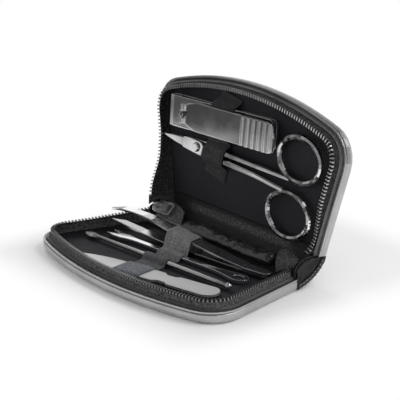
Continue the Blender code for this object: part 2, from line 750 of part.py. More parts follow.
# Cuticle trimmer
TRIMMER_THICKNESS = 1.3 * MM
FORK_HALF = 2.5 * MM
SHAFT_HALF = 1.15 * MM
LOOP_HALF = 3.0 * MM


def make_trimmer():
    """A flat tool with a V fork at one end and an open loop pusher at the other."""
    left = -TRIMMER.length
    loop = LOOP_HALF
    fork = FORK_HALF
    points = arc((-loop * 1.3, 0.0), loop * 1.3, loop, 0.0, 110.0, 7)
    points += bezier((-loop * 3.7, loop * 0.6), (-loop * 4.7, SHAFT_HALF), (-loop * 6, SHAFT_HALF), 4)
    points += bezier((left + fork * 6.8, SHAFT_HALF), (left + fork * 4.8, SHAFT_HALF), (left + fork * 3.2, fork), 4)
    points += [(left + fork * 1.6, fork), (left, fork * 0.72), (left + fork * 2.2, 0.0)]
    hole = arc((-loop * 1.35, 0.0), loop * 0.8, loop * 0.5, 0.0, 330.0, 11)
    mesh = plate("cuticle_trimmer", [mirrored(points), hole], TRIMMER_THICKNESS)
    place("cuticle_trimmer", mesh, CHROME, **TRIMMER.in_base(TOOL_REST + TRIMMER_THICKNESS / 2))


# Tweezers: the lower arm has the thick joined end, and the upper arm springs from it
ARM_STRIP = 0.8 * MM
ARM_GAP = 0.15 * MM                     # between the arms at the joint
ARM_HALF = 2.7 * MM
ARM_JOINT = 0.15                        # share of the length where the arms part
ARM_SPREAD = 8.1 * MM                   # the most between the arms' middle lines
TWEEZERS_REST = TOOL_REST + 1.0 * MM
LOWER_LINE = ((0.15, 0.0), (0.35, 0.04), (0.58, 0.05), (0.68, 0.08), (0.8, 0.16), (0.9, 0.26), (1.0, 0.36))
UPPER_LINE = ((0.15, 0.118), (0.25, 0.22), (0.32, 0.33), (0.45, 0.5), (0.58, 0.69), (0.67, 0.85), (0.72, 0.95),
              (0.78, 1.0), (0.85, 1.02), (0.93, 0.99), (1.0, 0.9))


def arm_height(line, share):
    """Height of an arm's middle line above the joined end, at a share of the length."""
    for (start, low), (end, high) in zip(line, line[1:]):
        if share <= end:
            return ARM_SPREAD * (low + (high - low) * max(share - start, 0.0) / (end - start))
    return ARM_SPREAD * line[-1][1]


def arm_plan(start):
    """Top view of an arm from its right end at a share of the length to the slanted tip."""
    long = TWEEZERS.length
    half = ARM_HALF
    if start:
        points = [(-start * long, -half * 0.85), (-start * long, half * 0.85)]
    else:
        points = arc((-half * 0.8, 0.0), half * 0.8, half * 0.75, -90.0, 90.0, 6)
    points += [(-long * 0.3, half), (-long * 0.6, half), (-long * 0.8, half * 0.72), (-long * 0.94, half * 0.6),
               (-long, -half * 0.55), (-long * 0.8, -half * 0.72), (-long * 0.6, -half), (-long * 0.3, -half)]
    return points


def make_tweezers():
    """Two bowed strips that taper to slanted tips."""
    long = TWEEZERS.length
    half = ARM_STRIP / 2
    placing = TWEEZERS.in_base(TWEEZERS_REST)
    line = [(-share * long, share_height * ARM_SPREAD) for share, share_height in LOWER_LINE]
    joint = -ARM_JOINT * long
    side = [(0.0, -half), (0.0, half + ARM_STRIP), (joint + ARM_GAP, half + ARM_STRIP), (joint + ARM_GAP, half)]
    side += [(x, z + half) for x, z in line] + [(x, z - half) for x, z in reversed(line)]
    profile_and_plan("tweezers_lower_arm", side, arm_plan(0.0), 2 * ARM_HALF, CHROME, placing)
    line = [(-share * long, share_height * ARM_SPREAD) for share, share_height in UPPER_LINE]
    side = [(x, z + half) for x, z in line] + [(x, z - half) for x, z in reversed(line)]
    profile_and_plan("tweezers_upper_arm", side, arm_plan(ARM_JOINT), 2 * ARM_HALF, CHROME, placing)


# Scissors, drawn from their pivot
SCISSORS_MIDDLE = LINING_TOP + 8 * CLEARANCE + 0.4 * MM
SCISSORS_PIVOT_SHARE = 0.23
BLADE_HALF_THICKNESS = 0.6 * MM
BLADE_LAYER = BLADE_HALF_THICKNESS + CLEARANCE / 2      # each blade's middle from the scissors' middle
BLADE_HALF = 1.6 * MM
HEEL_HALF = 2.5 * MM
SHANK_HALF = 1.15 * MM
SHANK_APART = 1.55 * MM
RING_WIRE = 1.15 * MM
RING_LONG = 0.258 * half_width(0.221 * CASE_DEPTH)
RING_HALF = 0.163 * CASE_DEPTH
UPPER_RING = (0.648, 0.646)             # middles of the rings, as shares of half width and depth
LOWER_RING = (0.640, 0.222)
PIVOT_RADIUS = 1.9 * MM
PIVOT_HOLE = 1.4 * MM


def ring_centre(ring):
    """A ring's middle in the scissors' own frame, whose Y points away from the hinge."""
    depth = ring[1] * CASE_DEPTH
    pivot_x = SCISSORS.left[0] + (SCISSORS.right[0] - SCISSORS.left[0]) * SCISSORS_PIVOT_SHARE
    run = (ring[0] * half_width(depth) - pivot_x, depth - SCISSORS.depth_at(pivot_x))
    cosine, sine = math.cos(SCISSORS.turn), math.sin(SCISSORS.turn)
    return (run[0] * cosine - run[1] * sine, run[0] * sine + run[1] * cosine)


def half_scissors(name, side, layer, ring, placing):
    """One blade with its shank and finger ring; the blade lies in its own layer at the pivot."""
    blade = layer * BLADE_LAYER
    thick = BLADE_HALF_THICKNESS
    tip = SCISSORS_PIVOT_SHARE * SCISSORS.length
    centre = ring_centre(ring)
    apart = side * SHANK_APART
    stations = [(-tip, 0.0, blade, BLADE_HALF * 0.15, thick * 0.6, thick * 0.1),
                (-tip * 0.6, 0.0, blade, BLADE_HALF * 0.8, thick, thick * 0.2),
                (-tip * 0.42, 0.0, blade, BLADE_HALF, thick, thick * 0.2),
                (-tip * 0.385, 0.0, blade, HEEL_HALF * 0.85, thick, thick * 0.3),
                (-HEEL_HALF, 0.0, blade, HEEL_HALF, thick, thick * 0.3),
                (HEEL_HALF, apart * 0.15, blade, HEEL_HALF, thick, thick * 0.3),
                (HEEL_HALF * 2.6, apart, blade, SHANK_HALF, thick, thick * 0.5),
                (HEEL_HALF * 4, apart, 0.0, SHANK_HALF, thick * 2, thick * 0.8),
                (centre[0] * 0.64, apart * 1.2, 0.0, SHANK_HALF * 0.92, SHANK_HALF * 0.92, SHANK_HALF * 0.4),
                (centre[0] * 0.93, centre[1] - side * RING_HALF, 0.0, RING_WIRE * 0.8, RING_WIRE * 0.8,
                 RING_WIRE * 0.35)]
    piece = place(name, bar_mesh(name, stations), CHROME, **placing)
    shade(piece)
    points = [(x, y, 0.0) for x, y in arc(centre, RING_LONG, RING_HALF, 0.0, 350.0, 35)]
    loop = as_cutter(name + "_ring", wire_mesh(name + "_ring", points, RING_WIRE, closed=True), **placing)
    boolean(piece, loop, "UNION")
    return piece


def cylinder_mesh(name, radius, low, high, sides=20, top_radius=None):
    def fill(bm):
        bmesh.ops.create_cone(bm, cap_ends=True, segments=sides, radius1=radius,
                              radius2=radius if top_radius is None else top_radius, depth=high - low)
        bmesh.ops.translate(bm, verts=bm.verts, vec=(0.0, 0.0, (low + high) / 2))
    return mesh_from(name, fill)


def make_scissors():
    placing = SCISSORS.in_lid(SCISSORS_MIDDLE, SCISSORS_PIVOT_SHARE)
    lower = half_scissors("scissors_lower_half", 1.0, -1.0, UPPER_RING, placing)
    upper = half_scissors("scissors_upper_half", -1.0, 1.0, LOWER_RING, placing)
    layer = BLADE_LAYER + BLADE_HALF_THICKNESS
    reach = 2 * layer
    hole = as_cutter("scissors_hole", cylinder_mesh("scissors_hole", PIVOT_HOLE, -reach, reach), **placing)
    boolean(lower, hole, "DIFFERENCE")
    boolean(upper, hole, "DIFFERENCE")
    stem = cylinder_mesh("scissors_pivot", PIVOT_HOLE - CLEARANCE, -layer, layer + CLEARANCE * 2)
    screw = place("scissors_pivot", stem, CHROME, **placing)
    head = cylinder_mesh("pivot_head", PIVOT_RADIUS, layer + CLEARANCE, layer + CLEARANCE * 3,
                         top_radius=PIVOT_RADIUS * 0.8)
    boolean(screw, as_cutter("pivot_head", head, **placing), "UNION")
    shade(screw)


# Nail clipper, drawn from its pin
CLIPPER_REST = LINING_TOP + 0.5 * MM
CLIPPER_PIN_SHARE = 0.178               # of the way from the cutting edge to the joined end
JAW_LENGTH = CLIPPER_PIN_SHARE * CLIPPER.length
BACK_LENGTH = (1 - CLIPPER_PIN_SHARE) * CLIPPER.length - 4.0 * MM
CLIPPER_HALF = 0.119 * CASE_DEPTH
BLADE_STRIP = 1.2 * MM
JAW_GAP = 1.2 * MM
JAW_TOP = 4.9 * MM
PIN_RADIUS = 1.1 * MM
PIN_HEAD = 2.0 * MM
AXLE_RADIUS = 0.55 * MM
AXLE_HALF = 0.61 * CLIPPER_HALF
EYE_RADIUS = 1.15 * MM
LEVER_FOOT = JAW_TOP + 1.5 * CLEARANCE  # the lever's underside, above the lower blade's
LEVER_THICKNESS = 1.1 * MM
LEVER_END = (1 - CLIPPER_PIN_SHARE) * CLIPPER.length
LEVER_HALF = 0.93 * CLIPPER_HALF
SLOT_HALF = PIN_RADIUS + CLEARANCE
RIB_COUNT = 6
RIB_PITCH = 3.1 * MM
RIB_HEIGHT = 0.55 * MM
RIB_HALF = 0.75 * MM
RUNNING = 0.05 * MM                     # a turning fit


def rounded_bar_plan(start, end, half, round_start, round_end):
    """Top view of a bar with rounded corners at both ends."""
    points = arc((end - round_end, half - round_end), round_end, round_end, 0.0, 90.0, 4)
    points += arc((start + round_start, half - round_start), round_start, round_start, 90.0, 180.0, 4)
    return mirrored(points)


def blade_top(x):
    """Height of the upper blade's sloping back at a distance behind the pin."""
    start = -JAW_LENGTH * 0.28
    share = (x - start) / (BACK_LENGTH * 0.62 - start)
    return JAW_TOP + (CLEARANCE + BLADE_STRIP * 2.17 - JAW_TOP) * min(max(share, 0.0), 1.0)


def make_clipper():
    """Two spring blades joined at the back, a pin through them and a ribbed lever on top."""
    placing = CLIPPER.in_lid(CLIPPER_REST, CLIPPER_PIN_SHARE)
    edge = JAW_TOP - BLADE_STRIP - JAW_GAP
    jaw = JAW_LENGTH
    back = BACK_LENGTH
    lower_side = [(back, 0.0), (back, BLADE_STRIP), (-jaw * 0.46, BLADE_STRIP), (-jaw * 0.78, edge * 0.64),
                  (-jaw * 0.945, edge), (-jaw, edge), (-jaw * 0.87, edge * 0.32), (-jaw * 0.56, 0.0)]
    gap = BLADE_STRIP + CLEARANCE
    upper_side = [(back, gap), (back, gap + BLADE_STRIP), (back * 0.62, gap + BLADE_STRIP * 1.17),
                  (-jaw * 0.28, JAW_TOP), (-jaw * 0.7, JAW_TOP), (-jaw * 0.91, JAW_TOP - BLADE_STRIP * 0.42),
                  (-jaw, edge + JAW_GAP), (-jaw * 0.945, edge + JAW_GAP), (-jaw * 0.72, JAW_TOP - BLADE_STRIP * 0.92),
                  (-jaw * 0.28, JAW_TOP - BLADE_STRIP), (back * 0.58, gap)]
    plan = rounded_bar_plan(-jaw, back, CLIPPER_HALF, CLIPPER_HALF * 0.2, CLIPPER_HALF * 0.4)
    reach = 1.4 * CLIPPER_HALF
    lower = profile_and_plan("clipper_lower_blade", lower_side, plan, reach, CHROME, placing)
    upper = profile_and_plan("clipper_upper_blade", upper_side, plan, reach, CHROME, placing)
    hole = cylinder_mesh("pin_hole", PIN_RADIUS + CLEARANCE, -JAW_TOP, 2 * JAW_TOP)
    hole = as_cutter("pin_hole", hole, **placing)
    boolean(lower, hole, "DIFFERENCE")
    boolean(upper, hole, "DIFFERENCE")
    recess = cylinder_mesh("pin_recess", PIN_HEAD + CLEARANCE, -BLADE_STRIP, BLADE_STRIP * 0.58)
    boolean(lower, as_cutter("pin_recess", recess, **placing), "DIFFERENCE")
    axle_height = LEVER_FOOT + EYE_RADIUS
    stem = cylinder_mesh("clipper_pin", PIN_RADIUS, BLADE_STRIP * 0.17, axle_height + AXLE_RADIUS * 1.6)
    pin = place("clipper_pin", stem, CHROME, **placing)
    foot = cylinder_mesh("pin_foot", PIN_HEAD, 0.0, BLADE_STRIP / 3)
    boolean(pin, as_cutter("pin_foot", foot, **placing), "UNION")
    axle = lying_across(cylinder_mesh("pin_axle", AXLE_RADIUS, -AXLE_HALF, AXLE_HALF, 16), axle_height)
    boolean(pin, as_cutter("pin_axle", axle, **placing), "UNION")
    shade(pin)
    make_lever(placing)


def lying_across(mesh, height):
    """Turns a cylinder so that it lies along Y at a height."""
    mesh.transform(Matrix.Translation((0.0, 0.0, height)) @ Matrix.Rotation(math.radians(90), 4, "X"))
    return mesh


def make_lever(placing):
    """The flat lever: two eyes on the pin's axle, a plate and cross ribs at the thumb end."""
    top = LEVER_FOOT + LEVER_THICKNESS
    middle = LEVER_FOOT + EYE_RADIUS
    side = [(LEVER_END, LEVER_FOOT), (LEVER_END, top)]
    for index in range(RIB_COUNT):
        rib = LEVER_END - RIB_HALF * 2 - index * RIB_PITCH
        side += [(rib + RIB_HALF, top), (rib + RIB_HALF / 2, top + RIB_HEIGHT),
                 (rib - RIB_HALF / 2, top + RIB_HEIGHT), (rib - RIB_HALF, top)]
    side += [(EYE_RADIUS * 1.6, top)]
    side += arc((0.0, middle), EYE_RADIUS, EYE_RADIUS, 20.0, 270.0, 10)
    half = LEVER_HALF
    corner = half * 0.3
    right = [(EYE_RADIUS * 7, half), (EYE_RADIUS * 3.5, AXLE_HALF * 1.25), (EYE_RADIUS * 1.4, AXLE_HALF),
             (-2 * EYE_RADIUS, AXLE_HALF)]
    plan = [(LEVER_END, half - corner), (LEVER_END - corner * 0.3, half - corner * 0.3), (LEVER_END - corner, half)]
    lever = profile_and_plan("clipper_lever", side, mirrored(plan + right), 2 * half, CHROME, placing)
    slot_length = 3 * EYE_RADIUS + SLOT_HALF
    slot = box_mesh("lever_slot", (slot_length, 2 * SLOT_HALF, 4 * EYE_RADIUS))
    slot.transform(Matrix.Translation((SLOT_HALF + EYE_RADIUS * 0.8 - slot_length / 2, 0.0, middle)))
    boolean(lever, as_cutter("lever_slot", slot, **placing), "DIFFERENCE")
    bore = cylinder_mesh("lever_bore", AXLE_RADIUS + RUNNING, -2 * half, 2 * half, 16)
    boolean(lever, as_cutter("lever_bore", lying_across(bore, middle), **placing), "DIFFERENCE")


# Elastic bands: each lies on its lining and hops over the tools that it holds
ELASTIC_THICKNESS = 0.6 * MM
ELASTIC_STEPS = 64
ELASTIC_LIFT = 0.4 * MM                 # above the tools, so that each loop is a loose fit in the model
ELASTIC_SIDE = 1.3 * MM                 # beside the tools
ELASTIC_RAMP = 1.8 * MM
ELASTIC_WIDTH = 0.125 * (2 * HINGE_HALF + 2 * HINGE_BACK + HINGE_UP)
BASE_ELASTIC = ((-0.165, 0.09), (0.035, 0.92))      # its two ends, as shares of half width and depth
LID_ELASTIC = ((-0.39, 0.29), (-0.21, 0.945))


class Band:
    """A ribbon from one point of a half to another, nearer the front, and no nearer the hinge than least."""

    def __init__(self, ends, least):
        (x, depth), (end_x, end_depth) = ends
        self.start = (x * half_width(depth * CASE_DEPTH), depth * CASE_DEPTH)
        end = (end_x * half_width(end_depth * CASE_DEPTH), end_depth * CASE_DEPTH)
        run = (end[0] - self.start[0], end[1] - self.start[1])
        self.length = math.hypot(*run)
        self.unit = (run[0] / self.length, run[1] / self.length)
        short = least + abs(self.unit[0]) * ELASTIC_WIDTH / 2 - self.start[1]
        if short > 0:
            self.start = self.point(short / self.unit[1], 0.0)
            self.length -= short / self.unit[1]
        self.floor = LINING_TOP + CLEARANCE

    def point(self, along, across):
        """A point of the half (x, depth); across counts to the right."""
        x = self.start[0] + self.unit[0] * along + self.unit[1] * across
        return (x, self.start[1] + self.unit[1] * along - self.unit[0] * across)

    def crossing(self, lie, across):
        """How far along its own length the band's line at across meets a tool's middle line."""
        x, depth = self.point(0.0, across)
        slope = math.tan(lie.turn)
        return (lie.depth_at(x) - depth) / (self.unit[1] + self.unit[0] * slope)


def ease(t):
    t = min(max(t, 0.0), 1.0)
    return t * t * (3 - 2 * t)


def ribbon(name, band, hops, mirror):
    """The band's upper side; each hop is (tool, half width, its top at the left and right edge)."""
    edges = (-ELASTIC_WIDTH / 2, ELASTIC_WIDTH / 2)
    spans = []
    for lie, half, tops in hops:
        for across, top in zip(edges, tops):
            middle = band.crossing(lie, across)
            spans.append((across, middle - half - ELASTIC_SIDE, middle + half + ELASTIC_SIDE, top))

    def height(along, across):
        best = band.floor
        for edge, start, end, top in spans:
            if edge == across:
                ramp = ELASTIC_RAMP + (top - band.floor) * 0.15
                rise = min(ease((along - start + ramp) / ramp), ease((end + ramp - along) / ramp))
                best = max(best, band.floor + (top + ELASTIC_LIFT - band.floor) * rise)
        return best

    def fill(bm):
        rows = []
        for index in range(ELASTIC_STEPS + 1):
            along = band.length * index / ELASTIC_STEPS
            row = []
            for across in edges:
                x, depth = band.point(along, across)
                row.append((-x if mirror else x, -depth, height(along, across)))
            rows.append(row)
        rows_to_faces(bm, rows)
        if not mirror:
            bmesh.ops.reverse_faces(bm, faces=bm.faces)
    return mesh_from(name, fill)


def make_bands():
    band = Band(BASE_ELASTIC, COVER_HOLD + 2 * CLEARANCE)
    arm_tops = []
    for across in (-ELASTIC_WIDTH / 2, ELASTIC_WIDTH / 2):
        x = band.point(band.crossing(TWEEZERS, across), across)[0]
        share = -TWEEZERS.along(x - ELASTIC_SIDE) / TWEEZERS.length
        arm_tops.append(TWEEZERS_REST + arm_height(UPPER_LINE, share) + ARM_STRIP)
    hops = [(TWEEZERS, ARM_HALF, arm_tops), (TRIMMER, SHAFT_HALF, [TOOL_REST + TRIMMER_THICKNESS] * 2),
            (PICK, PICK_RADIUS, [PICK_REST + PICK_RADIUS] * 2),
            (FILE, FILE_HALF, [TOOL_REST + FILE_THICKNESS] * 2)]
    piece = place("base_elastic_band", ribbon("base_elastic_band", band, hops, False), ELASTIC, BASE)
    solidify(piece, ELASTIC_THICKNESS, 1.0)
    shade(piece)
    band = Band(LID_ELASTIC, COVER_HOLD + 2 * CLEARANCE)
    blade_tops = []
    for across in (-ELASTIC_WIDTH / 2, ELASTIC_WIDTH / 2):
        x = band.point(band.crossing(CLIPPER, across), across)[0]
        from_left = (x - CLIPPER.left[0]) / math.cos(CLIPPER.turn)
        blade_tops.append(CLIPPER_REST + blade_top(from_left - JAW_LENGTH))
    hops = [(SCISSORS, HEEL_HALF, [SCISSORS_MIDDLE + BLADE_LAYER + BLADE_HALF_THICKNESS] * 2),
            (CLIPPER, CLIPPER_HALF, blade_tops)]
    piece = place("lid_elastic_band", ribbon("lid_elastic_band", band, hops, True), ELASTIC, LID)
    solidify(piece, ELASTIC_THICKNESS, 1.0)
    shade(piece)


make_half("base", BASE)
make_half("lid", LID)
make_spine()
make_end_panels()
make_hinge_cover()
make_hinge_flap()
make_gussets()
make_slider()
make_file()
make_pick()
make_trimmer()
make_tweezers()
make_scissors()
make_clipper()
make_bands()
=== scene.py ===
import math
import bmesh
import bpy
import numpy as np
from mathutils import Matrix, Vector, noise
from mathutils.bvhtree import BVHTree


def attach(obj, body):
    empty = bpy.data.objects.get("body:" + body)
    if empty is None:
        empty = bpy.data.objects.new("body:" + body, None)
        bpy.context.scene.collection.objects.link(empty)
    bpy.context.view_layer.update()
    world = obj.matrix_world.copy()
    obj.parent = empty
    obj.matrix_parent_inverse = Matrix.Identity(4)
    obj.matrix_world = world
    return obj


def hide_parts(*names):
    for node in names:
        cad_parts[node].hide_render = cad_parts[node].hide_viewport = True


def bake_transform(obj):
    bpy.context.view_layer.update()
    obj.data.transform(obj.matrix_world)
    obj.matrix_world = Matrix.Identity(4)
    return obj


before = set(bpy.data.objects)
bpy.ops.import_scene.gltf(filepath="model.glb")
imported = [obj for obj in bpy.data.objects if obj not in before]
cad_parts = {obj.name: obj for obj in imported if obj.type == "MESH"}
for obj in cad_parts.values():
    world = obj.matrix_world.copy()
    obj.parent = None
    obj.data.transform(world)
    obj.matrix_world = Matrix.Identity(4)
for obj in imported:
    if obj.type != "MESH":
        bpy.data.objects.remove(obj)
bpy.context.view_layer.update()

# Sizes of the case in millimetres, as its solids have them
HINGE_HALF = 40.7
CORNER_HALF = 50.9
CASE_DEPTH = 49.8
CORNER_DEPTH = 0.8193 * CASE_DEPTH
CORNER_RADIUS = 8.0
ZIP_HEIGHT = 8.3
ZIP_START = 0.7
LINING_START = 1.5
BASE_BACK = 26.8
HINGE_BACK = 4.25
HINGE_UP = 7.1
CLOSED = 2 * ZIP_HEIGHT + 0.3
LID_OPEN = math.radians(95.7)
TO_METRES = 0.001


def in_base(points):
    """World millimetres of (x, depth, height) points of the base."""
    p = np.asarray(points, float)
    return np.stack([p[..., 0], BASE_BACK - p[..., 1], p[..., 2]], -1)


def in_lid(points):
    """World millimetres of (x, depth, height) points of the open lid."""
    p = np.asarray(points, float)
    back = -p[..., 1] - HINGE_BACK
    up = CLOSED - p[..., 2] - HINGE_UP
    y = HINGE_BACK + back * math.cos(LID_OPEN) + up * math.sin(LID_OPEN)
    z = HINGE_UP - back * math.sin(LID_OPEN) + up * math.cos(LID_OPEN)
    return np.stack([p[..., 0], BASE_BACK + y, z], -1)


HALVES = {"base": in_base, "lid": in_lid}


# Meshes, and the lines that shapes follow
def put(name, data):
    """An object that shows this data in the scene."""
    made = bpy.data.objects.new(name, data)
    bpy.context.scene.collection.objects.link(made)
    return made


def piece(name, vertices, faces, finish, uv=None, angle=40.0):
    """A closed piece from world millimetres; uv is one (u, v) in millimetres for each vertex."""
    mesh = bpy.data.meshes.new(name)
    mesh.from_pydata((np.asarray(vertices) * TO_METRES).tolist(), [], faces)
    if uv is not None:
        layer = mesh.uv_layers.new(name="threads")
        corners = np.empty(len(mesh.loops), int)
        mesh.loops.foreach_get("vertex_index", corners)
        layer.data.foreach_set("uv", np.asarray(uv, float)[corners].ravel())
    shape = bmesh.new()
    shape.from_mesh(mesh)
    bmesh.ops.recalc_face_normals(shape, faces=shape.faces)
    shape.to_mesh(mesh)
    shape.free()
    mesh.shade_smooth()
    mesh.set_sharp_from_angle(angle=math.radians(angle))
    mesh.materials.append(finish)
    return put(name, mesh)


def skin(grid, ring=True, caps=True, first=0):
    """Faces over a grid of rows and columns whose columns close into a ring."""
    rows, columns = grid
    faces = []
    last = columns if ring else columns - 1
    for row in range(rows - 1):
        for column in range(last):
            after = (column + 1) % columns
            a = first + row * columns
            b = a + columns
            faces.append((a + column, a + after, b + after, b + column))
    if caps:
        faces.append(tuple(first + index for index in reversed(range(columns))))
        end = first + (rows - 1) * columns
        faces.append(tuple(end + index for index in range(columns)))
    return faces


def ringed(name, rows, finish, threads=None, angle=60.0):
    """A closed piece over rows of points, each row a ring."""
    grid = np.asarray(rows)
    return piece(name, grid.reshape(-1, 3), skin(grid.shape[:2]), finish, threads, angle)


def noise_at(*place):
    return noise.noise(Vector(place))


def distances(points):
    """Distance along a line at each of its points."""
    return np.concatenate([[0.0], np.cumsum(np.linalg.norm(np.diff(points, axis=0), axis=1))])


def directions(points):
    """Unit direction of a line at each of its points."""
    tangents = np.gradient(points, axis=0)
    return tangents / np.linalg.norm(tangents, axis=1)[:, None]


def at_stops(stops, lengths, values):
    """Values that are known at some lengths along a line, at other stops of it."""
    return np.stack([np.interp(stops, lengths, column) for column in np.transpose(values)], -1)


def arc(centre, across, up, start, end, steps):
    angles = np.radians(np.linspace(start, end, steps + 1))
    return [(centre[0] + across * math.cos(a), centre[1] + up * math.sin(a)) for a in angles]


def zip_line(start, step):
    """Points, outward normals and lengths along the zip line, from the right of the hinge to its left."""
    rise = CASE_DEPTH - CORNER_DEPTH
    front_radius = (CORNER_HALF ** 2 + rise ** 2) / (2 * rise)
    front = np.array((0.0, CASE_DEPTH - front_radius))
    slant = math.atan2(CORNER_HALF - HINGE_HALF, CORNER_DEPTH)
    along = np.array((math.sin(slant), math.cos(slant)))
    out = np.array((math.cos(slant), -math.sin(slant)))
    first = np.array((HINGE_HALF, 0.0)) - out * CORNER_RADIUS - front
    reach = first @ along
    spare = first @ first - (front_radius - CORNER_RADIUS) ** 2
    corner = front + first + along * (math.sqrt(reach ** 2 - spare) - reach)
    side_end = corner + out * CORNER_RADIUS
    side_start = side_end - along * ((side_end[1] - start) / along[1])
    side_steps, corner_steps, front_steps = 40, 24, 60
    points = [tuple(side_start + (side_end - side_start) * t) for t in np.linspace(0, 1, side_steps)[:-1]]
    toward = corner - front
    front_angle = math.degrees(math.atan2(toward[1], toward[0]))
    points += arc(corner, CORNER_RADIUS, CORNER_RADIUS, -math.degrees(slant), front_angle, corner_steps)
    points += arc(front, front_radius, front_radius, front_angle, 90.0, front_steps)[1:]
    right = np.array(points)
    whole = np.concatenate([right, (right * (-1, 1))[-2::-1]])
    lengths = distances(whole)
    count = int(round(lengths[-1] / step))
    stops = np.linspace(0, lengths[-1], count + 1)
    line = at_stops(stops, lengths, whole)
    tangent = directions(line)
    return line, np.stack([tangent[:, 1], -tangent[:, 0]], -1), stops


def wavy(seed, amount, scale):
    """Smooth noise by place along a line, in millimetres."""
    return lambda s: amount * noise_at(s * scale, seed * 7.3, 1.7)


# Near the hinge each zip row leaves its plane: distance along it, then its depth and height there
ROW_ENDS = {
    ("base", "right"): [(0.7, 0.7, 8.3), (8, 8, 8.0), (18, 18, 8.3)],
    ("base", "left"): [(0.7, 0.7, 9.4), (12, 12, 8.8), (26, 26, 8.3)],
    ("lid", "right"): [(0.7, 0.6, 9.4), (2.2, 1.7, 7.5), (4, 3.4, 6.4), (7, 6.2, 6.0), (12, 11.7, 6.9),
                       (20, 20, 8.3)],
    ("lid", "left"): [(0.7, 2.2, 15.6), (4, 5.2, 15.0), (8, 8.8, 13.4), (12.8, 13.0, 11.2), (17, 17, 9.6),
                      (26, 26, 8.3)],
}


def row_shift(half, stops):
    """How far (in depth and in height) the row lies from its plain place at each stop of its line."""
    shift = np.zeros((len(stops), 2))
    for side, passed in (("right", stops), ("left", stops[-1] - stops)):
        table = np.array(ROW_ENDS[half, side])
        s = passed + table[0, 0]
        near = s < table[-1, 0]
        for column, plain in ((0, s), (1, ZIP_HEIGHT)):
            shift[:, column] += np.where(near, np.interp(s, table[:, 0], table[:, column + 1]) - plain, 0)
    weights = np.array((1, 2, 3, 4, 3, 2, 1)) / 16
    beyond = len(weights) // 2
    padded = np.pad(shift, ((beyond, beyond), (0, 0)), mode="edge")
    return np.stack([np.convolve(padded[:, k], weights, "valid") for k in (0, 1)], -1)


def wall(name, half, start, profile, finish, wave, follows=False):
    """A closed profile of (offset, height) carried along the zip line of one half."""
    line, normal, stops = zip_line(start, 1.0)
    loop = np.array(profile)
    around = distances(loop)
    share = (loop[:, 1] - loop[:, 1].min()) / np.ptp(loop[:, 1])
    shift = row_shift(half, stops) if follows else np.zeros((len(stops), 2))
    rows, threads = [], []
    for here, out, s, moved in zip(line, normal, stops, shift):
        flat = here + out * (loop[:, :1] + wave(s) * share[:, None])
        flat[:, 1] = np.maximum(flat[:, 1], start) + moved[0] * share
        rows.append(np.column_stack([flat, loop[:, 1] + moved[1] * share]))
        threads += [(s, v) for v in around]
    return ringed(name, HALVES[half](rows), finish, threads, 40)


def blocks(path, up, pitch, size):
    """Small teeth at even steps along a path, standing along up; size is along, across and up."""
    lengths = distances(path)
    stops = np.arange(pitch / 2, lengths[-1], pitch)
    spots, ups = at_stops(stops, lengths, path), at_stops(stops, lengths, up)
    tangents = np.gradient(spots, axis=0)
    long, wide, high = size
    corner, sink = 0.15, 0.1
    levels = ((-sink, 0.9, 0.8), (0.0, 1.0, 1.0), (high - corner, 1.0, 1.0),
              (high, 1.0 - 2 * corner / long, 1.0 - 2 * corner / wide))
    vertices, faces = [], []
    for spot, tangent, rise in zip(spots, tangents, ups):
        tangent = tangent / np.linalg.norm(tangent)
        rise = rise - tangent * (rise @ tangent)
        rise /= np.linalg.norm(rise)
        across = np.cross(tangent, rise)
        faces += skin((4, 4), first=len(vertices))
        for height, a, b in levels:
            for i, j in ((-1, -1), (1, -1), (1, 1), (-1, 1)):
                vertices.append(spot + rise * height + tangent * (i * a * long / 2)
                                + across * (j * b * wide / 2))
    return vertices, faces


OFF_EVERY_PATH = (0.13, 0.2, 1.0)


def rings_along(path, radius, sides):
    """Rings of points round a path."""
    rows = []
    for spot, tangent in zip(path, directions(path)):
        side = np.cross(tangent, OFF_EVERY_PATH)
        side /= np.linalg.norm(side)
        other = np.cross(tangent, side)
        rows.append([spot + radius * (side * math.cos(a) + other * math.sin(a))
                     for a in np.linspace(0, 2 * math.pi, sides + 1)[:-1]])
    return np.array(rows)


def tube(path, radius):
    """A round cord along a path."""
    rings = rings_along(path, radius, 8)
    return rings.reshape(-1, 3), skin(rings.shape[:2])


def joined(parts):
    """One list of vertices and faces from several."""
    vertices, faces = [], []
    for more, more_faces in parts:
        first = len(vertices)
        vertices += list(more)
        faces += [tuple(first + index for index in face) for face in more_faces]
    return vertices, faces


def ply(name, rows, thickness, finish):
    """One layer of cloth or leather, of even thickness over a grid of points."""
    grid = np.array(rows, float)
    along, across = np.gradient(grid, axis=0), np.gradient(grid, axis=1)
    normal = np.cross(along, across)
    normal /= np.linalg.norm(normal, axis=2)[..., None]
    above, below = grid + normal * thickness / 2, grid - normal * thickness / 2
    ring = np.concatenate([above, below[:, ::-1]], axis=1)
    u = np.concatenate([[0.0], np.cumsum(np.linalg.norm(along[1:, 0], axis=1))])
    v = np.concatenate([[0.0], np.cumsum(np.linalg.norm(across[0, 1:], axis=1))])
    threads = [(a, b) for a in u for b in np.concatenate([v, v[::-1] + 0.37])]
    return ringed(name, ring, finish, threads)


def curve(points, count):
    """A smooth line through a few points."""
    knots = np.array(points, float)
    padded = np.concatenate([[2 * knots[0] - knots[1]], knots, [2 * knots[-1] - knots[-2]]])
    line = []
    for t in np.linspace(0, len(knots) - 1 - 1e-9, count):
        i, f = int(t), t - int(t)
        a, b, c, d = padded[i:i + 4]
        line.append(0.5 * (2 * b + (c - a) * f + (2 * a - 5 * b + 4 * c - d) * f ** 2
                           + (3 * b - a - 3 * c + d) * f ** 3))
    return np.array(line)


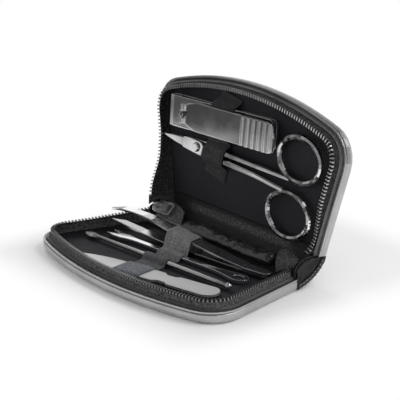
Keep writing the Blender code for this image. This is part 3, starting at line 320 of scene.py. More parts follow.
# Finishes: shared effects are node groups
def node(tree, kind, values=None, **settings):
    """A node; each value is a plain one or the output of another node."""
    made = tree.nodes.new("ShaderNode" + kind)
    for key, value in settings.items():
        setattr(made, key, value)
    for key, value in (values or {}).items():
        if isinstance(value, (int, float, tuple)):
            made.inputs[key].default_value = value
        else:
            tree.links.new(value, made.inputs[key])
    return made


def maths(tree, operation, first, second=None, clamp=False):
    values = {0: first} if second is None else {0: first, 1: second}
    return node(tree, "Math", values, operation=operation, use_clamp=clamp).outputs[0]


def away(tree, value, middle):
    """How far a value is from a middle one."""
    return maths(tree, "ABSOLUTE", maths(tree, "SUBTRACT", value, middle))


def split(tree, vector):
    """The X, Y and Z of a vector."""
    return node(tree, "SeparateXYZ", {0: vector}).outputs


def ranged(tree, value, start, end, low=0.0, high=1.0, **settings):
    """Goes from low to high while a value goes from start to end."""
    values = {"Value": value, "From Min": start, "From Max": end, "To Min": low, "To Max": high}
    return node(tree, "MapRange", values, **settings).outputs[0]


def clouds(tree, vector, scale, detail, **values):
    """Noise of one scale over a vector."""
    values.update(Vector=vector, Scale=scale, Detail=detail)
    return node(tree, "TexNoise", values).outputs["Fac"]


def effect(name, numbers, outputs):
    """An empty node group that takes a Vector and numbers, and gives numbers."""
    tree = bpy.data.node_groups.new(name, "ShaderNodeTree")
    tree.interface.new_socket("Vector", in_out="INPUT", socket_type="NodeSocketVector")
    for label, value in numbers.items():
        socket = tree.interface.new_socket(label, in_out="INPUT", socket_type="NodeSocketFloat")
        socket.default_value = value
    for label in outputs:
        tree.interface.new_socket(label, in_out="OUTPUT", socket_type="NodeSocketFloat")
    return tree, tree.nodes.new("NodeGroupInput").outputs, tree.nodes.new("NodeGroupOutput").inputs


def make_grain():
    """Leather grain: pebbles of one size with fine noise; Shade is 0 in the creases and 1 on the tops."""
    tree, given, out = effect("leather_grain", {"Per metre": 1500.0}, ("Shade", "Cloud"))
    vector, scale = given["Vector"], given["Per metre"]
    pebble = node(tree, "TexVoronoi", {"Vector": vector, "Scale": scale, "Randomness": 0.9},
                  feature="DISTANCE_TO_EDGE")
    fine = clouds(tree, vector, maths(tree, "MULTIPLY", scale, 2.2), 3.0, Roughness=0.6)
    tops = maths(tree, "MULTIPLY", pebble.outputs["Distance"], 3.0, clamp=True)
    mixed = maths(tree, "ADD", maths(tree, "MULTIPLY", tops, 0.6),
                  maths(tree, "MULTIPLY", fine, 0.4))
    tree.links.new(mixed, out["Shade"])
    tree.links.new(clouds(tree, vector, 90.0, 4.0), out["Cloud"])
    return tree


def make_weave():
    """Crossing threads from coordinates in millimetres, with uneven yarn."""
    tree, given, out = effect("woven_threads", {"Thread": 0.6, "Unevenness": 0.5}, ("Height", "Shade"))
    apart = split(tree, given["Vector"])
    pitch = maths(tree, "DIVIDE", math.pi, given["Thread"])
    waves = [maths(tree, "SINE", maths(tree, "MULTIPLY", apart[axis], pitch)) for axis in "XY"]
    height = maths(tree, "ABSOLUTE", maths(tree, "MULTIPLY", *waves))
    yarn = ranged(tree, clouds(tree, given["Vector"], 0.9, 4.0, Roughness=0.7), 0.35, 0.7)
    uneven = maths(tree, "MULTIPLY", yarn, given["Unevenness"])
    shade = maths(tree, "ADD", maths(tree, "MULTIPLY", height, 0.5), uneven, clamp=True)
    tree.links.new(height, out["Height"])
    tree.links.new(shade, out["Shade"])
    return tree


def make_wear_and_edge_light():
    """Edge: 1 on outer edges, where metals get a painted highlight colour. Scratch: fine lines along X.
    Smudge: broad soft patches.
    """
    tree, given, out = effect("metal_wear_and_edge_light", {"Edge from": 0.52, "Edge to": 0.6},
                              ("Edge", "Scratch", "Smudge"))
    geometry = node(tree, "NewGeometry")
    edge = ranged(tree, geometry.outputs["Pointiness"], given["Edge from"], given["Edge to"])
    stretch = node(tree, "Mapping", {"Vector": given["Vector"], "Scale": (60.0, 2500.0, 2500.0)})
    tree.links.new(edge, out["Edge"])
    tree.links.new(clouds(tree, stretch.outputs[0], 1.0, 2.0), out["Scratch"])
    tree.links.new(clouds(tree, given["Vector"], 130.0, 3.0), out["Smudge"])
    return tree


GRAIN = make_grain()
WEAVE = make_weave()
WEAR_AND_EDGE_LIGHT = make_wear_and_edge_light()


class Finish:
    """A material with its shader, and short ways to feed it."""

    def __init__(self, name, constants):
        self.material = bpy.data.materials.new(name)
        self.material.use_nodes = True
        self.tree = self.material.node_tree
        self.sockets = self.tree.nodes["Principled BSDF"].inputs
        for socket, value in constants.items():
            self.sockets[socket].default_value = value
        self.place = node(self.tree, "TexCoord").outputs

    def group(self, shared, numbers, vector="Object"):
        """The outputs of a shared effect in this material."""
        values = {"Vector": self.place[vector], **numbers}
        return node(self.tree, "Group", values, node_tree=shared).outputs

    def blend(self, factor, low, high, start, end):
        """A colour between two, by a factor between start and end."""
        ramp = node(self.tree, "ValToRGB", {0: factor})
        for element, position, colour in zip(ramp.color_ramp.elements, (start, end), (low, high)):
            element.position, element.color = position, colour
        return ramp.outputs[0]

    def mix(self, factor, first, second, **settings):
        values = {"Factor": factor, "A": first, "B": second}
        return node(self.tree, "Mix", values, data_type="RGBA", **settings).outputs["Result"]

    def spread(self, factor, low, high, start=0.0, end=1.0):
        return ranged(self.tree, factor, start, end, low, high)

    def feed(self, socket, output):
        self.tree.links.new(output, self.sockets[socket])

    def bump(self, height, distance, **values):
        values.update(Height=height, Distance=distance, Strength=1.0)
        self.feed("Normal", node(self.tree, "Bump", values).outputs[0])


def grey(value, blue=0.0):
    return (value, value, value * (1.0 + blue), 1.0)


def leather(name, dark, light, per_metre, depth, rough, specular=0.35, coat=0.0, coat_rough=0.3):
    made = Finish(name, {"Specular IOR Level": specular, "Coat Weight": coat, "Coat Roughness": coat_rough})
    grain = made.group(GRAIN, {"Per metre": per_metre})
    tone = made.blend(grain["Shade"], dark, light, 0.2, 0.9)
    cloudy = made.blend(grain["Cloud"], dark, light, 0.35, 0.75)
    made.feed("Base Color", made.mix(0.45, tone, cloudy))
    made.feed("Roughness", made.spread(grain["Cloud"], rough - 0.08, rough + 0.1, 0.3, 0.7))
    made.bump(grain["Shade"], depth)
    return made.material


def woven(name, dark, light, thread, uneven, depth, rough=0.8, sheen=0.0, vector="UV"):
    made = Finish(name, {"Specular IOR Level": 0.25, "Sheen Weight": sheen})
    weave = made.group(WEAVE, {"Thread": thread, "Unevenness": uneven}, vector)
    made.feed("Base Color", made.blend(weave["Shade"], dark, light, 0.1, 0.95))
    made.feed("Roughness", made.spread(weave["Shade"], rough + 0.08, rough - 0.12))
    made.bump(weave["Height"], depth)
    return made.material


def metal(name, dark, light, edge, rough, spread, scratch=0.00001, limits=(0.52, 0.6), round_edge=0.0):
    made = Finish(name, {"Metallic": 1.0})
    wear_and_edge_light = made.group(WEAR_AND_EDGE_LIGHT, {"Edge from": limits[0], "Edge to": limits[1]})
    body = made.blend(wear_and_edge_light["Smudge"], dark, light, 0.35, 0.65)
    # Painted highlight: the edge colour is mixed in wherever Pointiness finds an outer edge.
    made.feed("Base Color", made.mix(wear_and_edge_light["Edge"], body, edge))
    made.feed("Roughness", made.spread(wear_and_edge_light["Smudge"], rough - spread, rough + spread, 0.3, 0.7))
    rounded = {}
    if round_edge:
        rounded["Normal"] = node(made.tree, "Bevel", {"Radius": round_edge}, samples=6).outputs[0]
    made.bump(wear_and_edge_light["Scratch"], scratch, **rounded)
    return made.material


aluminium = metal("satin_pan", grey(0.43), grey(0.50), grey(0.53), 0.40, 0.05, 0.0000005, limits=(0.7, 0.8))
leather_band = leather("charcoal_leather", grey(0.013), grey(0.058), 1100.0, 0.00012, 0.5, coat=0.5)
# A lighter copy of the band leather for the lid: painted sheen, as where the band's top catches light at a
# grazing angle.
lid_band_painted_sheen = leather("painted_sheen_leather", grey(0.05), grey(0.16), 1100.0, 0.00012, 0.5, coat=0.5)
leather_soft = leather("soft_black_leather", grey(0.006), grey(0.018), 900.0, 0.00012, 0.36, 0.6)
leather_roll = leather("glossy_black_leather", grey(0.004), grey(0.012), 500.0, 0.00016, 0.2, 1.0, coat=1.0,
                       coat_rough=0.06)
lining_leather = leather("lining_leather", grey(0.013, 0.25), grey(0.022, 0.25), 1600.0, 0.00005, 0.62, 0.15)
# A darker copy of the black leather for the spine's ends: painted shade, against the floor light they
# reflect.
end_leather = leather("end_leather", grey(0.002), grey(0.006), 700.0, 0.0001, 0.36, 0.35)
tape_cloth = woven("zip_tape_cloth", grey(0.008), grey(0.10), 0.6, 0.9, 0.0002)
# A lighter copy of the zip tape cloth for the apron under the pull: painted light.
apron_cloth = woven("apron_cloth", grey(0.02), grey(0.2), 0.5, 0.6, 0.0002)
cord_thread = woven("cord_thread", grey(0.003), grey(0.012), 0.3, 0.4, 0.00005, vector="Object")
lobe_cloth = woven("lobe_cloth", grey(0.009), grey(0.11), 0.5, 0.5, 0.0002)
dark_elastic = woven("dark_elastic_ribbon", grey(0.008, 0.1), grey(0.045, 0.1), 0.45, 0.45, 0.0001, 0.8, 0.05)
# A darker copy of the zip tape cloth for the lid: painted shade on the lid's tape.
lid_tape_cloth = woven("lid_tape_cloth", grey(0.004), grey(0.045), 0.6, 0.9, 0.0002)
teeth_metal = metal("dark_teeth", grey(0.02), grey(0.04), grey(0.2), 0.36, 0.06, limits=(0.53, 0.64))
# A lighter copy of the teeth's metal with bright edges, for the lid's teeth and the apron's: painted
# highlights on each tooth.
lid_teeth_metal = metal("painted_highlight_teeth", grey(0.05), grey(0.1), grey(0.6), 0.3, 0.06, limits=(0.52, 0.62))
pull_metal = metal("gunmetal_pull", grey(0.2), grey(0.5), grey(0.8), 0.36, 0.1, round_edge=0.0002)
# A darker copy of the chrome for the scissors: painted shade, standing in for the dark surroundings their
# polished shanks reflect.
ring_chrome = metal("wire_chrome", grey(0.15), grey(0.3), grey(0.95), 0.1, 0.04, 0.000002,
                    limits=(0.515, 0.58), round_edge=0.0001)
chrome = metal("polished_chrome", grey(0.56), grey(0.68), grey(0.95), 0.12, 0.05, limits=(0.51, 0.58),
               round_edge=0.0004)
# A darker copy of the chrome for the clipper's lever: painted shade, standing in for dark reflections on its
# flat face.
lever_chrome = metal("mirror_chrome", grey(0.33), grey(0.54), grey(0.9), 0.09, 0.04, 0.000003,
                     round_edge=0.0005)
file_metal = metal("matte_file", grey(0.5), grey(0.6), grey(0.7), 0.62, 0.06, 0.00003)


def stretched_elastic():
    """Ribbed ribbon whose colour changes along its length: pale and bluish at the front end, dark in the
    middle, pale and fuzzy at the rear end over the tweezers.
    """
    made = Finish("elastic_ribbon", {"Specular IOR Level": 0.25, "Sheen Weight": 0.1})
    threads = made.place["UV"]
    weave = made.group(WEAVE, {"Thread": 0.45, "Unevenness": 0.45}, "UV")
    # Colour by place along the ribbon, from its rear end (X 0) to its front end (X 42 mm).
    run = made.spread(split(made.tree, threads)["X"], 1.0, 0.0, 0.0, 42.0)
    ramp = node(made.tree, "ValToRGB", {0: run})
    elements = ramp.color_ramp.elements
    elements[0].position, elements[0].color = 0.0, (0.12, 0.128, 0.15, 1)
    elements[1].position, elements[1].color = 1.0, (0.15, 0.15, 0.155, 1)
    for spot, tone in ((0.27, (0.13, 0.138, 0.16, 1)), (0.33, (0.055, 0.055, 0.06, 1)),
                       (0.55, (0.06, 0.06, 0.066, 1)), (0.66, (0.13, 0.13, 0.135, 1))):
        elements.new(spot).color = tone
    fuzz = clouds(made.tree, threads, 0.7, 6.0, Roughness=0.75)
    both = maths(made.tree, "ADD", made.spread(weave["Shade"], 0.55, 1.1),
                 made.spread(fuzz, -0.3, 0.6, 0.35, 0.7))
    made.feed("Base Color", made.mix(1.0, ramp.outputs[0], both, blend_type="MULTIPLY"))
    made.feed("Roughness", made.spread(fuzz, 0.9, 0.65, 0.3, 0.7))
    made.bump(weave["Height"], 0.0001)
    return made.material


def painted_highlight_leather():
    """The cover's leather, with a painted highlight: a pale streak near the lid's lining, where its lower
    edge catches light; its UV is in millimetres.
    """
    made = Finish("painted_highlight_leather", {"Specular IOR Level": 0.3})
    tree, threads = made.tree, made.place["UV"]
    grain = made.group(GRAIN, {"Per metre": 900.0})
    apart = split(tree, threads)
    fuzz = clouds(tree, threads, 1.3, 5.0, Roughness=0.8)
    # Painted highlight: the streak lies along the lid lining's lower edge and is broken into fuzzy spots.
    streak_place, streak_end = 15.8, 32.0
    strip = made.spread(away(tree, apart["Y"], streak_place), 1.0, 0.0, 0.6, 2.2)
    reach = made.spread(away(tree, apart["X"], 0.0), 1.0, 0.0, 26.0, streak_end)
    spots = made.spread(fuzz, 0.0, 1.0, 0.45, 0.65)
    highlight_mask = maths(tree, "MULTIPLY", maths(tree, "MULTIPLY", strip, reach), spots, clamp=True)
    dark = made.blend(grain["Shade"], grey(0.006), grey(0.018), 0.2, 0.9)
    pale = made.blend(fuzz, grey(0.04), grey(0.14), 0.35, 0.65)
    made.feed("Base Color", made.mix(highlight_mask, dark, pale))
    made.feed("Roughness", made.spread(highlight_mask, 0.42, 0.85))
    made.bump(grain["Shade"], 0.00012)
    return made.material


elastic_cloth = stretched_elastic()
cover_leather = painted_highlight_leather()
thread = woven("stitch_thread", grey(0.12), grey(0.35), 0.2, 0.4, 0.00003, 0.6, vector="Object")

# Solids whose shape is right keep their mesh and get their finish
FINISHES = {
    aluminium: ["base_shell", "lid_shell"],
    chrome: ["ear_pick", "cuticle_trimmer", "tweezers_upper_arm", "tweezers_lower_arm", "scissors_pivot",
             "clipper_lower_blade", "clipper_upper_blade", "clipper_pin"],
    ring_chrome: ["scissors_upper_half", "scissors_lower_half"],
    lever_chrome: ["clipper_lever"],
    file_metal: ["nail_file"],
    pull_metal: ["zip_slider"],
}
for finish, names in FINISHES.items():
    for name in names:
        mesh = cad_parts[name].data
        mesh.materials.clear()
        mesh.materials.append(finish)
        mesh.shade_smooth()
        mesh.set_sharp_from_angle(angle=math.radians(35))


def label(made, slot, node_name):
    """Hides the named solid, if one is named, so that the piece stands in its place."""
    if node_name:
        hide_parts(node_name)


def ride_on(made, body, slot, node_name=None):
    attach(made, body)
    label(made, slot, node_name)


def follow_zip(made, half, slot, node_name=None):
    """Rides on the base if it is the base's; a lid piece keeps its place, with its transform baked in."""
    if half == "base":
        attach(made, half)
    else:
        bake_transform(made)
    label(made, slot, node_name)


def follow_hinge(made, slot, node_name=None):
    """Keeps the piece where it stands, with its transform baked in."""
    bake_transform(made)
    label(made, slot, node_name)


# Side bands, tapes and teeth of both halves
BAND = [(2.3, 0.9), (2.45, 2.4), (2.45, 3.7), (2.3, 4.4), (2.08, 4.9), (1.85, 5.2), (1.7, 5.3), (1.55, 5.2),
        (1.6, 4.8), (1.66, 4.2), (1.66, 0.9)]
TAPE = [(1.42, 3.4), (1.5, 4.2), (1.5, 4.8), (1.4, 5.3), (1.2, 5.8), (0.95, 6.3), (0.75, 6.7), (0.62, 7.1),
        (0.0, 7.1), (0.05, 6.7), (0.25, 6.1), (0.55, 5.6), (0.8, 5.1), (0.92, 4.6), (0.92, 3.4)]
TOOTH_PITCH = 1.36
TOOTH = (0.6, 1.5, 0.95)
CORD_RADIUS = 0.34
TAPE_TOP = 7.1
TEETH_OUT = 0.3


def make_teeth(half, tooth_metal):
    """A row of small square teeth, and the dark cord that they are clamped on."""
    line, normal, stops = zip_line(ZIP_START, 0.8)
    path = np.column_stack([line + normal * TEETH_OUT, np.full(len(line), TAPE_TOP)])
    path[:, 1:] += row_shift(half, stops)
    path = HALVES[half](path)
    up = HALVES[half]((0, 0, 1)) - HALVES[half]((0, 0, 0))
    cord = piece(half + "_teeth_cord", *tube(path, CORD_RADIUS), cord_thread)
    follow_zip(cord, half, "woven_zip_tape")
    teeth = blocks(path, np.tile(up, (len(path), 1)), TOOTH_PITCH, TOOTH)
    follow_zip(piece(half + "_teeth_row", *teeth, tooth_metal), half, "dark_zip_metal", half + "_zip_teeth")


HALF_FINISHES = (("base", 1, leather_band, tape_cloth, teeth_metal),
                 ("lid", 2, lid_band_painted_sheen, lid_tape_cloth, lid_teeth_metal))
for half, seed, hide, cloth, tooth_metal in HALF_FINISHES:
    band = wall(half + "_band_leather", half, 0.0, BAND, hide, wavy(seed, 0.08, 0.09))
    ride_on(band, half, "black_pu_leather", half + "_side_band")
    tape = wall(half + "_tape_cloth", half, ZIP_START, TAPE, cloth, wavy(seed + 4, 0.12, 0.2), follows=True)
    follow_zip(tape, half, "woven_zip_tape", half + "_zip_tape")
    make_teeth(half, tooth_metal)


# Padded linings: crowned panels with a rounded rim
LINING_OUT = 1.42
LINING_MIDDLE = (0.0, 26.0)


def make_lining(half, seed):
    line, normal, _ = zip_line(LINING_START, 1.2)
    edge = line + normal * LINING_OUT
    edge[:, 1] = np.maximum(edge[:, 1], LINING_START)
    back = np.linspace(edge[-1], edge[0], 60)[1:-1]
    rim = np.concatenate([edge, back])
    centre = np.array(LINING_MIDDLE)
    rings = [(1.0, 0.95), (1.0, 2.3), (0.997, 2.7), (0.988, 2.95), (0.97, 3.08), (0.93, 3.14)]
    rings += [(t, 3.16 + 0.12 * (1 - t)) for t in (0.85, 0.75, 0.63, 0.5, 0.37, 0.24, 0.12)]
    vertices = []
    for scale, height in rings:
        for spot in rim:
            x, depth = centre + (spot - centre) * scale
            sway = 0.10 * noise_at(x * 0.07, depth * 0.07, seed) if height > 3.0 else 0.0
            vertices.append((x, depth, height + sway))
    faces = skin((len(rings), len(rim)))
    made = piece(half + "_lining_pad", HALVES[half](vertices), faces, lining_leather)
    ride_on(made, half, "black_lining", half + "_lining")


make_lining("base", 3.1)
make_lining("lid", 8.4)


# Elastic ribbons, laid over the tools that each one holds
WIDTH = 12.0
RIBBON = 0.62
SLACK = 0.12
LINING_HEIGHT = 3.45
ABOVE = 30.0
BASE_LINE = ((-6.85, 4.48), (1.78, 45.8))
LID_LINE = ((-17.2, 14.4), (-10.7, 47.0))


def tool_heights(half, tools, points):
    """Height of the tools' upper side over (x, depth) points of a half, or 0 beside them."""
    toward = HALVES[half]
    heights = np.zeros(len(points))
    for name in tools:
        tree = BVHTree.FromObject(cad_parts[name], bpy.context.evaluated_depsgraph_get())
        for index, (x, depth) in enumerate(points):
            start, end = (Vector(toward((x, depth, z)) * TO_METRES) for z in (ABOVE, 0.0))
            hit = tree.ray_cast(start, (end - start).normalized(), ABOVE * TO_METRES)
            if hit[0] is not None:
                height = ABOVE - (hit[0] - start).length / TO_METRES
                heights[index] = max(heights[index], height)
    return heights


def make_ribbon(name, half, ends, tools, node_name, finish, steepness):
    """A ribbon from one (x, depth) end to the other, lifted over its tools no steeper than given."""
    start, end = np.array(ends)
    length = np.linalg.norm(end - start)
    unit = (end - start) / length
    across = np.array((unit[1], -unit[0]))
    steps, lanes = 130, 13
    flat_top, ease_along, ease_across, edge_thins = 0.5, 0.4, 2.2, 0.55
    along = np.linspace(0, length, steps)
    side = np.linspace(-WIDTH / 2, WIDTH / 2, lanes)
    spots = start + unit * along[:, None, None] + across * side[None, :, None]
    need = tool_heights(half, tools, spots.reshape(-1, 2)).reshape(steps, lanes)
    need = np.where(need > 0, need + SLACK, LINING_HEIGHT)
    apart = np.abs(along[:, None] - along[None, :])
    steep = steepness * np.maximum(apart - flat_top, 0.0)
    rest = np.stack([np.maximum((lane[None, :] - steep).max(1), LINING_HEIGHT) for lane in need.T], 1)
    kernel = np.exp(-0.5 * (apart / ease_along) ** 2)
    kernel /= kernel.sum(1, keepdims=True)
    soft = np.maximum(kernel @ rest, need)
    sideways = np.exp(-0.5 * ((side[:, None] - side[None, :]) / ease_across) ** 2)
    sideways /= sideways.sum(1, keepdims=True)
    soft = np.maximum(soft @ sideways.T, need)
    thickness = RIBBON * (1.0 - edge_thins * (np.abs(side) / (WIDTH / 2)) ** 12)
    grid = []
    for place, height, slope in zip(spots, soft, np.gradient(soft, along, axis=0)):
        lean = 1.0 / np.sqrt(1.0 + slope ** 2)
        under = np.column_stack([place, height])
        normal = np.column_stack([-unit[0] * slope * lean, -unit[1] * slope * lean, lean])
        over = under + normal * thickness[:, None]
        grid.append(np.concatenate([under, over[::-1]]))
    threads = [(a, b) for a in along for b in np.concatenate([side, side[::-1] + 20])]
    made = ringed(name, HALVES[half](grid), finish, threads)
    ride_on(made, half, "grey_elastic", node_name)


BASE_TOOLS = ["nail_file", "ear_pick", "cuticle_trimmer", "tweezers_upper_arm", "tweezers_lower_arm"]
LID_TOOLS = ["scissors_lower_half", "scissors_upper_half", "clipper_upper_blade", "clipper_lower_blade"]
make_ribbon("base_ribbon", "base", BASE_LINE, BASE_TOOLS, "base_elastic_band", elastic_cloth, 2.6)
make_ribbon("lid_ribbon", "lid", LID_LINE, LID_TOOLS, "lid_elastic_band", dark_elastic, 1.6)


def stitch_row(name, spots, along, length, radius):
    """Short rounded stitches at given places, each lying along a direction."""
    parts = []
    for spot, way in zip(spots, along):
        way = np.array(way, float) / np.linalg.norm(way)
        path = np.array([np.array(spot) + way * length * t for t in (-0.5, -0.3, 0.0, 0.3, 0.5)])
        rings = rings_along(path, radius, 6)
        for ring, scale in ((0, 0.45), (1, 0.9), (3, 0.9), (4, 0.45)):
            rings[ring] = path[ring] + (rings[ring] - path[ring]) * scale
        parts.append((rings.reshape(-1, 3), skin(rings.shape[:2])))
    return piece(name, *joined(parts), thread)


# The stitches on the lid's ribbon
stitch_count = 9
places = in_lid(np.linspace((-15.9, 43.6, 4.35), (-5.9, 41.6, 4.35), stitch_count))
stitches = stitch_row("lid_ribbon_stitches", places, [places[-1] - places[0]] * stitch_count, 1.25, 0.14)
ride_on(stitches, "lid", "grey_elastic")


# Soft pieces of the hinge, drawn as sections across it: (y, z) of the base, y to the rear
def lid_point(depth, height):
    _, y, z = in_lid((0.0, depth, height))
    return (y - BASE_BACK, z)


def bend(start, control, end, steps):
    t = np.linspace(0, 1, steps + 1)[:, None]
    a, b, c = (np.array(p) for p in (start, control, end))
    return (1 - t) ** 2 * a + 2 * t * (1 - t) * b + t ** 2 * c


def across_hinge(name, inner, outer, places, finish, ripple):
    """A sheet between two (y, z) lines, carried across the hinge and rippled by place."""
    rows, threads = [], []
    fade = np.sin(np.linspace(0, math.pi, len(inner))) ** 0.6
    run = distances(inner)
    for x in places:
        row = []
        for part in (inner, outer[::-1]):
            tangent = directions(part)
            normal = np.column_stack([-tangent[:, 1], tangent[:, 0]])
            if part is not inner:
                normal = -normal
            push = np.array([ripple(x, y, z) for y, z in part]) * fade
            row += [(x, y, z) for y, z in part + normal * push[:, None]]
        rows.append(row)
        threads += [(x, v) for v in np.concatenate([run, run[::-1] + 30])]
    return ringed(name, np.array(rows) + (0, BASE_BACK, 0), finish, threads, 50)


def wrinkle(seed, amount, across, along):
    return lambda x, y, z: amount * noise_at(x * across, (y + z) * along, seed)


places = np.linspace(-44.2, 44.2, 150)
spine_out = bend((0.35, 0.45), (9.2, 2.0), lid_point(-0.35, 0.45), 24)
spine_in = bend((0.35, 1.9), (8.0, 3.3), lid_point(-0.35, 1.9), 24)
made = across_hinge("spine_leather", spine_in, spine_out, places, leather_soft, wrinkle(2.0, 0.3, 0.12, 0.9))
follow_hinge(made, "black_pu_leather", "spine")

low, high = 3.35, 4.0
places = np.linspace(-40.0, 40.0, 160)
foot_out, foot_in = (-3.0, low), (-3.0, high)
top_out, top_in = lid_point(3.0, low), lid_point(3.0, high)
cover_out = bend(foot_out, (top_out[0] * 0.93, low), top_out, 30)
cover_in = bend(foot_in, (top_out[0] * 0.93 - 0.7, low + 0.75), top_in, 30)
made = across_hinge("hinge_cover_leather", cover_in, cover_out, places, cover_leather,
                    wrinkle(5.0, 0.45, 0.16, 0.55))
follow_hinge(made, "black_pu_leather", "hinge_cover")


# The padded roll along the hinge
def make_flap():
    start, end, turns = -24.0, 28.5, 28
    middle_y, middle_z = 2.76, 6.5
    places = np.concatenate([start + np.array((0, 0.25, 0.8, 1.6, 2.6)), np.linspace(start + 4, end - 4, 60),
                             end - np.array((2.6, 1.6, 0.8, 0.25, 0))])
    tilt = math.radians(24.0)
    rows, threads = [], []
    for x in places:
        left, right = x - start, end - x
        near = min(left, right)
        full = math.sqrt(max(0.0, 1 - (1 - min(near / 2.8, 1.0)) ** 2)) * 0.93 + 0.07
        half_wide = 2.9 * (0.6 + 0.4 * full)
        swell = max(0.0, 1 - right / 9.0) ** 0.7
        half_thick = (1.2 + 0.75 * swell) * full * (1.0 + 0.12 * noise_at(x * 0.1, 4.0, 0))
        row = []
        for a in np.linspace(0, 2 * math.pi, turns + 1)[:-1]:
            c, s = math.cos(a), math.sin(a)
            u = half_wide * math.copysign(abs(c) ** 0.75, c)
            v = half_thick * math.copysign(abs(s) ** 0.8, s)
            v += (0.3 * noise_at(x * 0.22, u * 0.35, 9.0) + 0.5 * swell) * (s > 0) * full
            y = middle_y + u * math.cos(tilt) - v * math.sin(tilt)
            z = middle_z + u * math.sin(tilt) + v * math.cos(tilt)
            row.append((x, y + BASE_BACK, z))
            threads.append((x, a * 2))
        rows.append(row)
    made = ringed("hinge_roll", rows, leather_roll, threads)
    follow_hinge(made, "black_pu_leather", "hinge_flap")


make_flap()
seam = [(x, BASE_BACK + 0.55, 5.95 + 0.02 * (x - 10)) for x in np.arange(9.0, 25.0, 3.1)]
follow_hinge(stitch_row("roll_stitches", seam, [(1, 0, 0)] * len(seam), 1.1, 0.22), "black_pu_leather")


# The leather ends of the spine and the folded ends of the tape
def fan(name, side, low_line, high_line, middle, thickness, finish, node_name, slot, bulge, crease=0.0):
    """A thin plate between two (y, z) lines that stands across the case's end."""
    steps = len(low_line)
    rows = []
    for t in np.linspace(0, 1, 9):
        line = low_line * (1 - t) + high_line * t
        puff = bulge * math.sin(math.pi * t) * np.sin(np.linspace(0, math.pi, steps))
        puff += [crease * noise_at(t * 2.2, i * 0.32, side * 4.0) for i in range(steps)]
        rows.append([(side * (middle + out), y + BASE_BACK, z) for (y, z), out in zip(line, puff)])
    follow_hinge(ply(name, rows, thickness, finish), slot, node_name)


panel_low = bend((0.45, 2.0), (8.0, 3.4), lid_point(-0.45, 2.0), 18)
panel_high = bend((0.45, 7.6), (2.6, 9.9), lid_point(-0.45, 8.0), 18)
gusset_low = bend((0.5, 3.9), (7.6, 5.6), lid_point(-0.1, 3.9), 18)
gusset_high = bend((0.5, 7.0), (3.0, 11.0), lid_point(-0.1, 7.0), 18)
under_slider = bend((0.5, 6.6), (5.4, 3.6), lid_point(-0.1, 7.0), 18)
SIDES = ((1.0, "right"), (-1.0, "left"))
for side, word in SIDES:
    fan(word + "_end_leather", side, panel_low, panel_high, 43.75, 0.5, end_leather, word + "_end_panel",
        "black_pu_leather", -0.1, 0.55)
    fan(word + "_gusset_cloth", side, gusset_low, gusset_high if side > 0 else under_slider, 42.6, 0.6,
        lobe_cloth, word + "_gusset", "woven_zip_tape", -0.3)


def make_hems():
    """The spine's rolled and wrinkled ends with their stitches."""
    for side, word in SIDES:
        line = bend((0.6, 1.35), (8.7, 2.8), lid_point(-0.6, 1.35), 70)
        path = np.array([(side * (43.9 + 0.25 * noise_at(i * 0.23, side, 0)), y + BASE_BACK, z)
                         for i, (y, z) in enumerate(line)])
        rings = rings_along(path, 0.95, 10)
        for i, middle in enumerate(path):
            scale = 1.0 + 0.22 * noise_at(i * 0.35, 3.0 * side, 5.0)
            rings[i] = middle + (rings[i] - middle) * scale
        hem = ringed(word + "_spine_hem", rings, leather_soft, angle=80)
        follow_hinge(hem, "black_pu_leather")
        spots = path[7:-5:7] + (side * 0.72, -0.45, 0.45)
        ways = (path[9:-3:7] - path[5:-7:7])[:len(spots)]
        follow_hinge(stitch_row(word + "_hem_stitches", spots, ways, 1.0, 0.2), "black_pu_leather")


make_hems()


def between_lines(first, second, lanes, bulge, toward):
    """Points between two lines, pushed toward a direction in the middle."""
    rows = []
    push = np.array(toward, float) / np.linalg.norm(toward)
    ends = np.sin(np.linspace(0.15, math.pi - 0.15, len(first)))
    for t in np.linspace(0, 1, lanes):
        row = first * (1 - t) + second * t
        rows.append(row + push * (bulge * math.sin(math.pi * t) * ends)[:, None])
    return rows


def hinge_curve(points, count):
    """A smooth line through a few (x, y behind the base, z) points."""
    return curve(np.array(points, float) + (0, BASE_BACK, 0), count)


def edge_teeth(name, edge, inner, cord_radius, pitch, size, finish):
    """Teeth on a cord along one edge of a tape, pointing away from its inner line."""
    outward = (edge - inner) / np.linalg.norm(edge - inner, axis=1)[:, None]
    return piece(name, *joined([tube(edge, cord_radius), blocks(edge, outward, pitch, size)]), finish)


# The tape's fold that joins the lid's left row to the slider
edge = hinge_curve([(-41.2, 10.6, 11.9), (-41.4, 6.0, 12.5), (-41.5, 2.4, 13.4), (-41.6, -0.6, 13.9)], 24)
lower = hinge_curve([(-37.0, 7.6, 9.4), (-37.6, 5.9, 11.0), (-40.6, 3.4, 12.1), (-42.2, -0.4, 10.2)], 24)
fold = ply("left_tape_fold", between_lines(edge, lower, 8, 0.3, (0, -1, 1)), 0.6, lobe_cloth)
follow_hinge(fold, "woven_zip_tape")

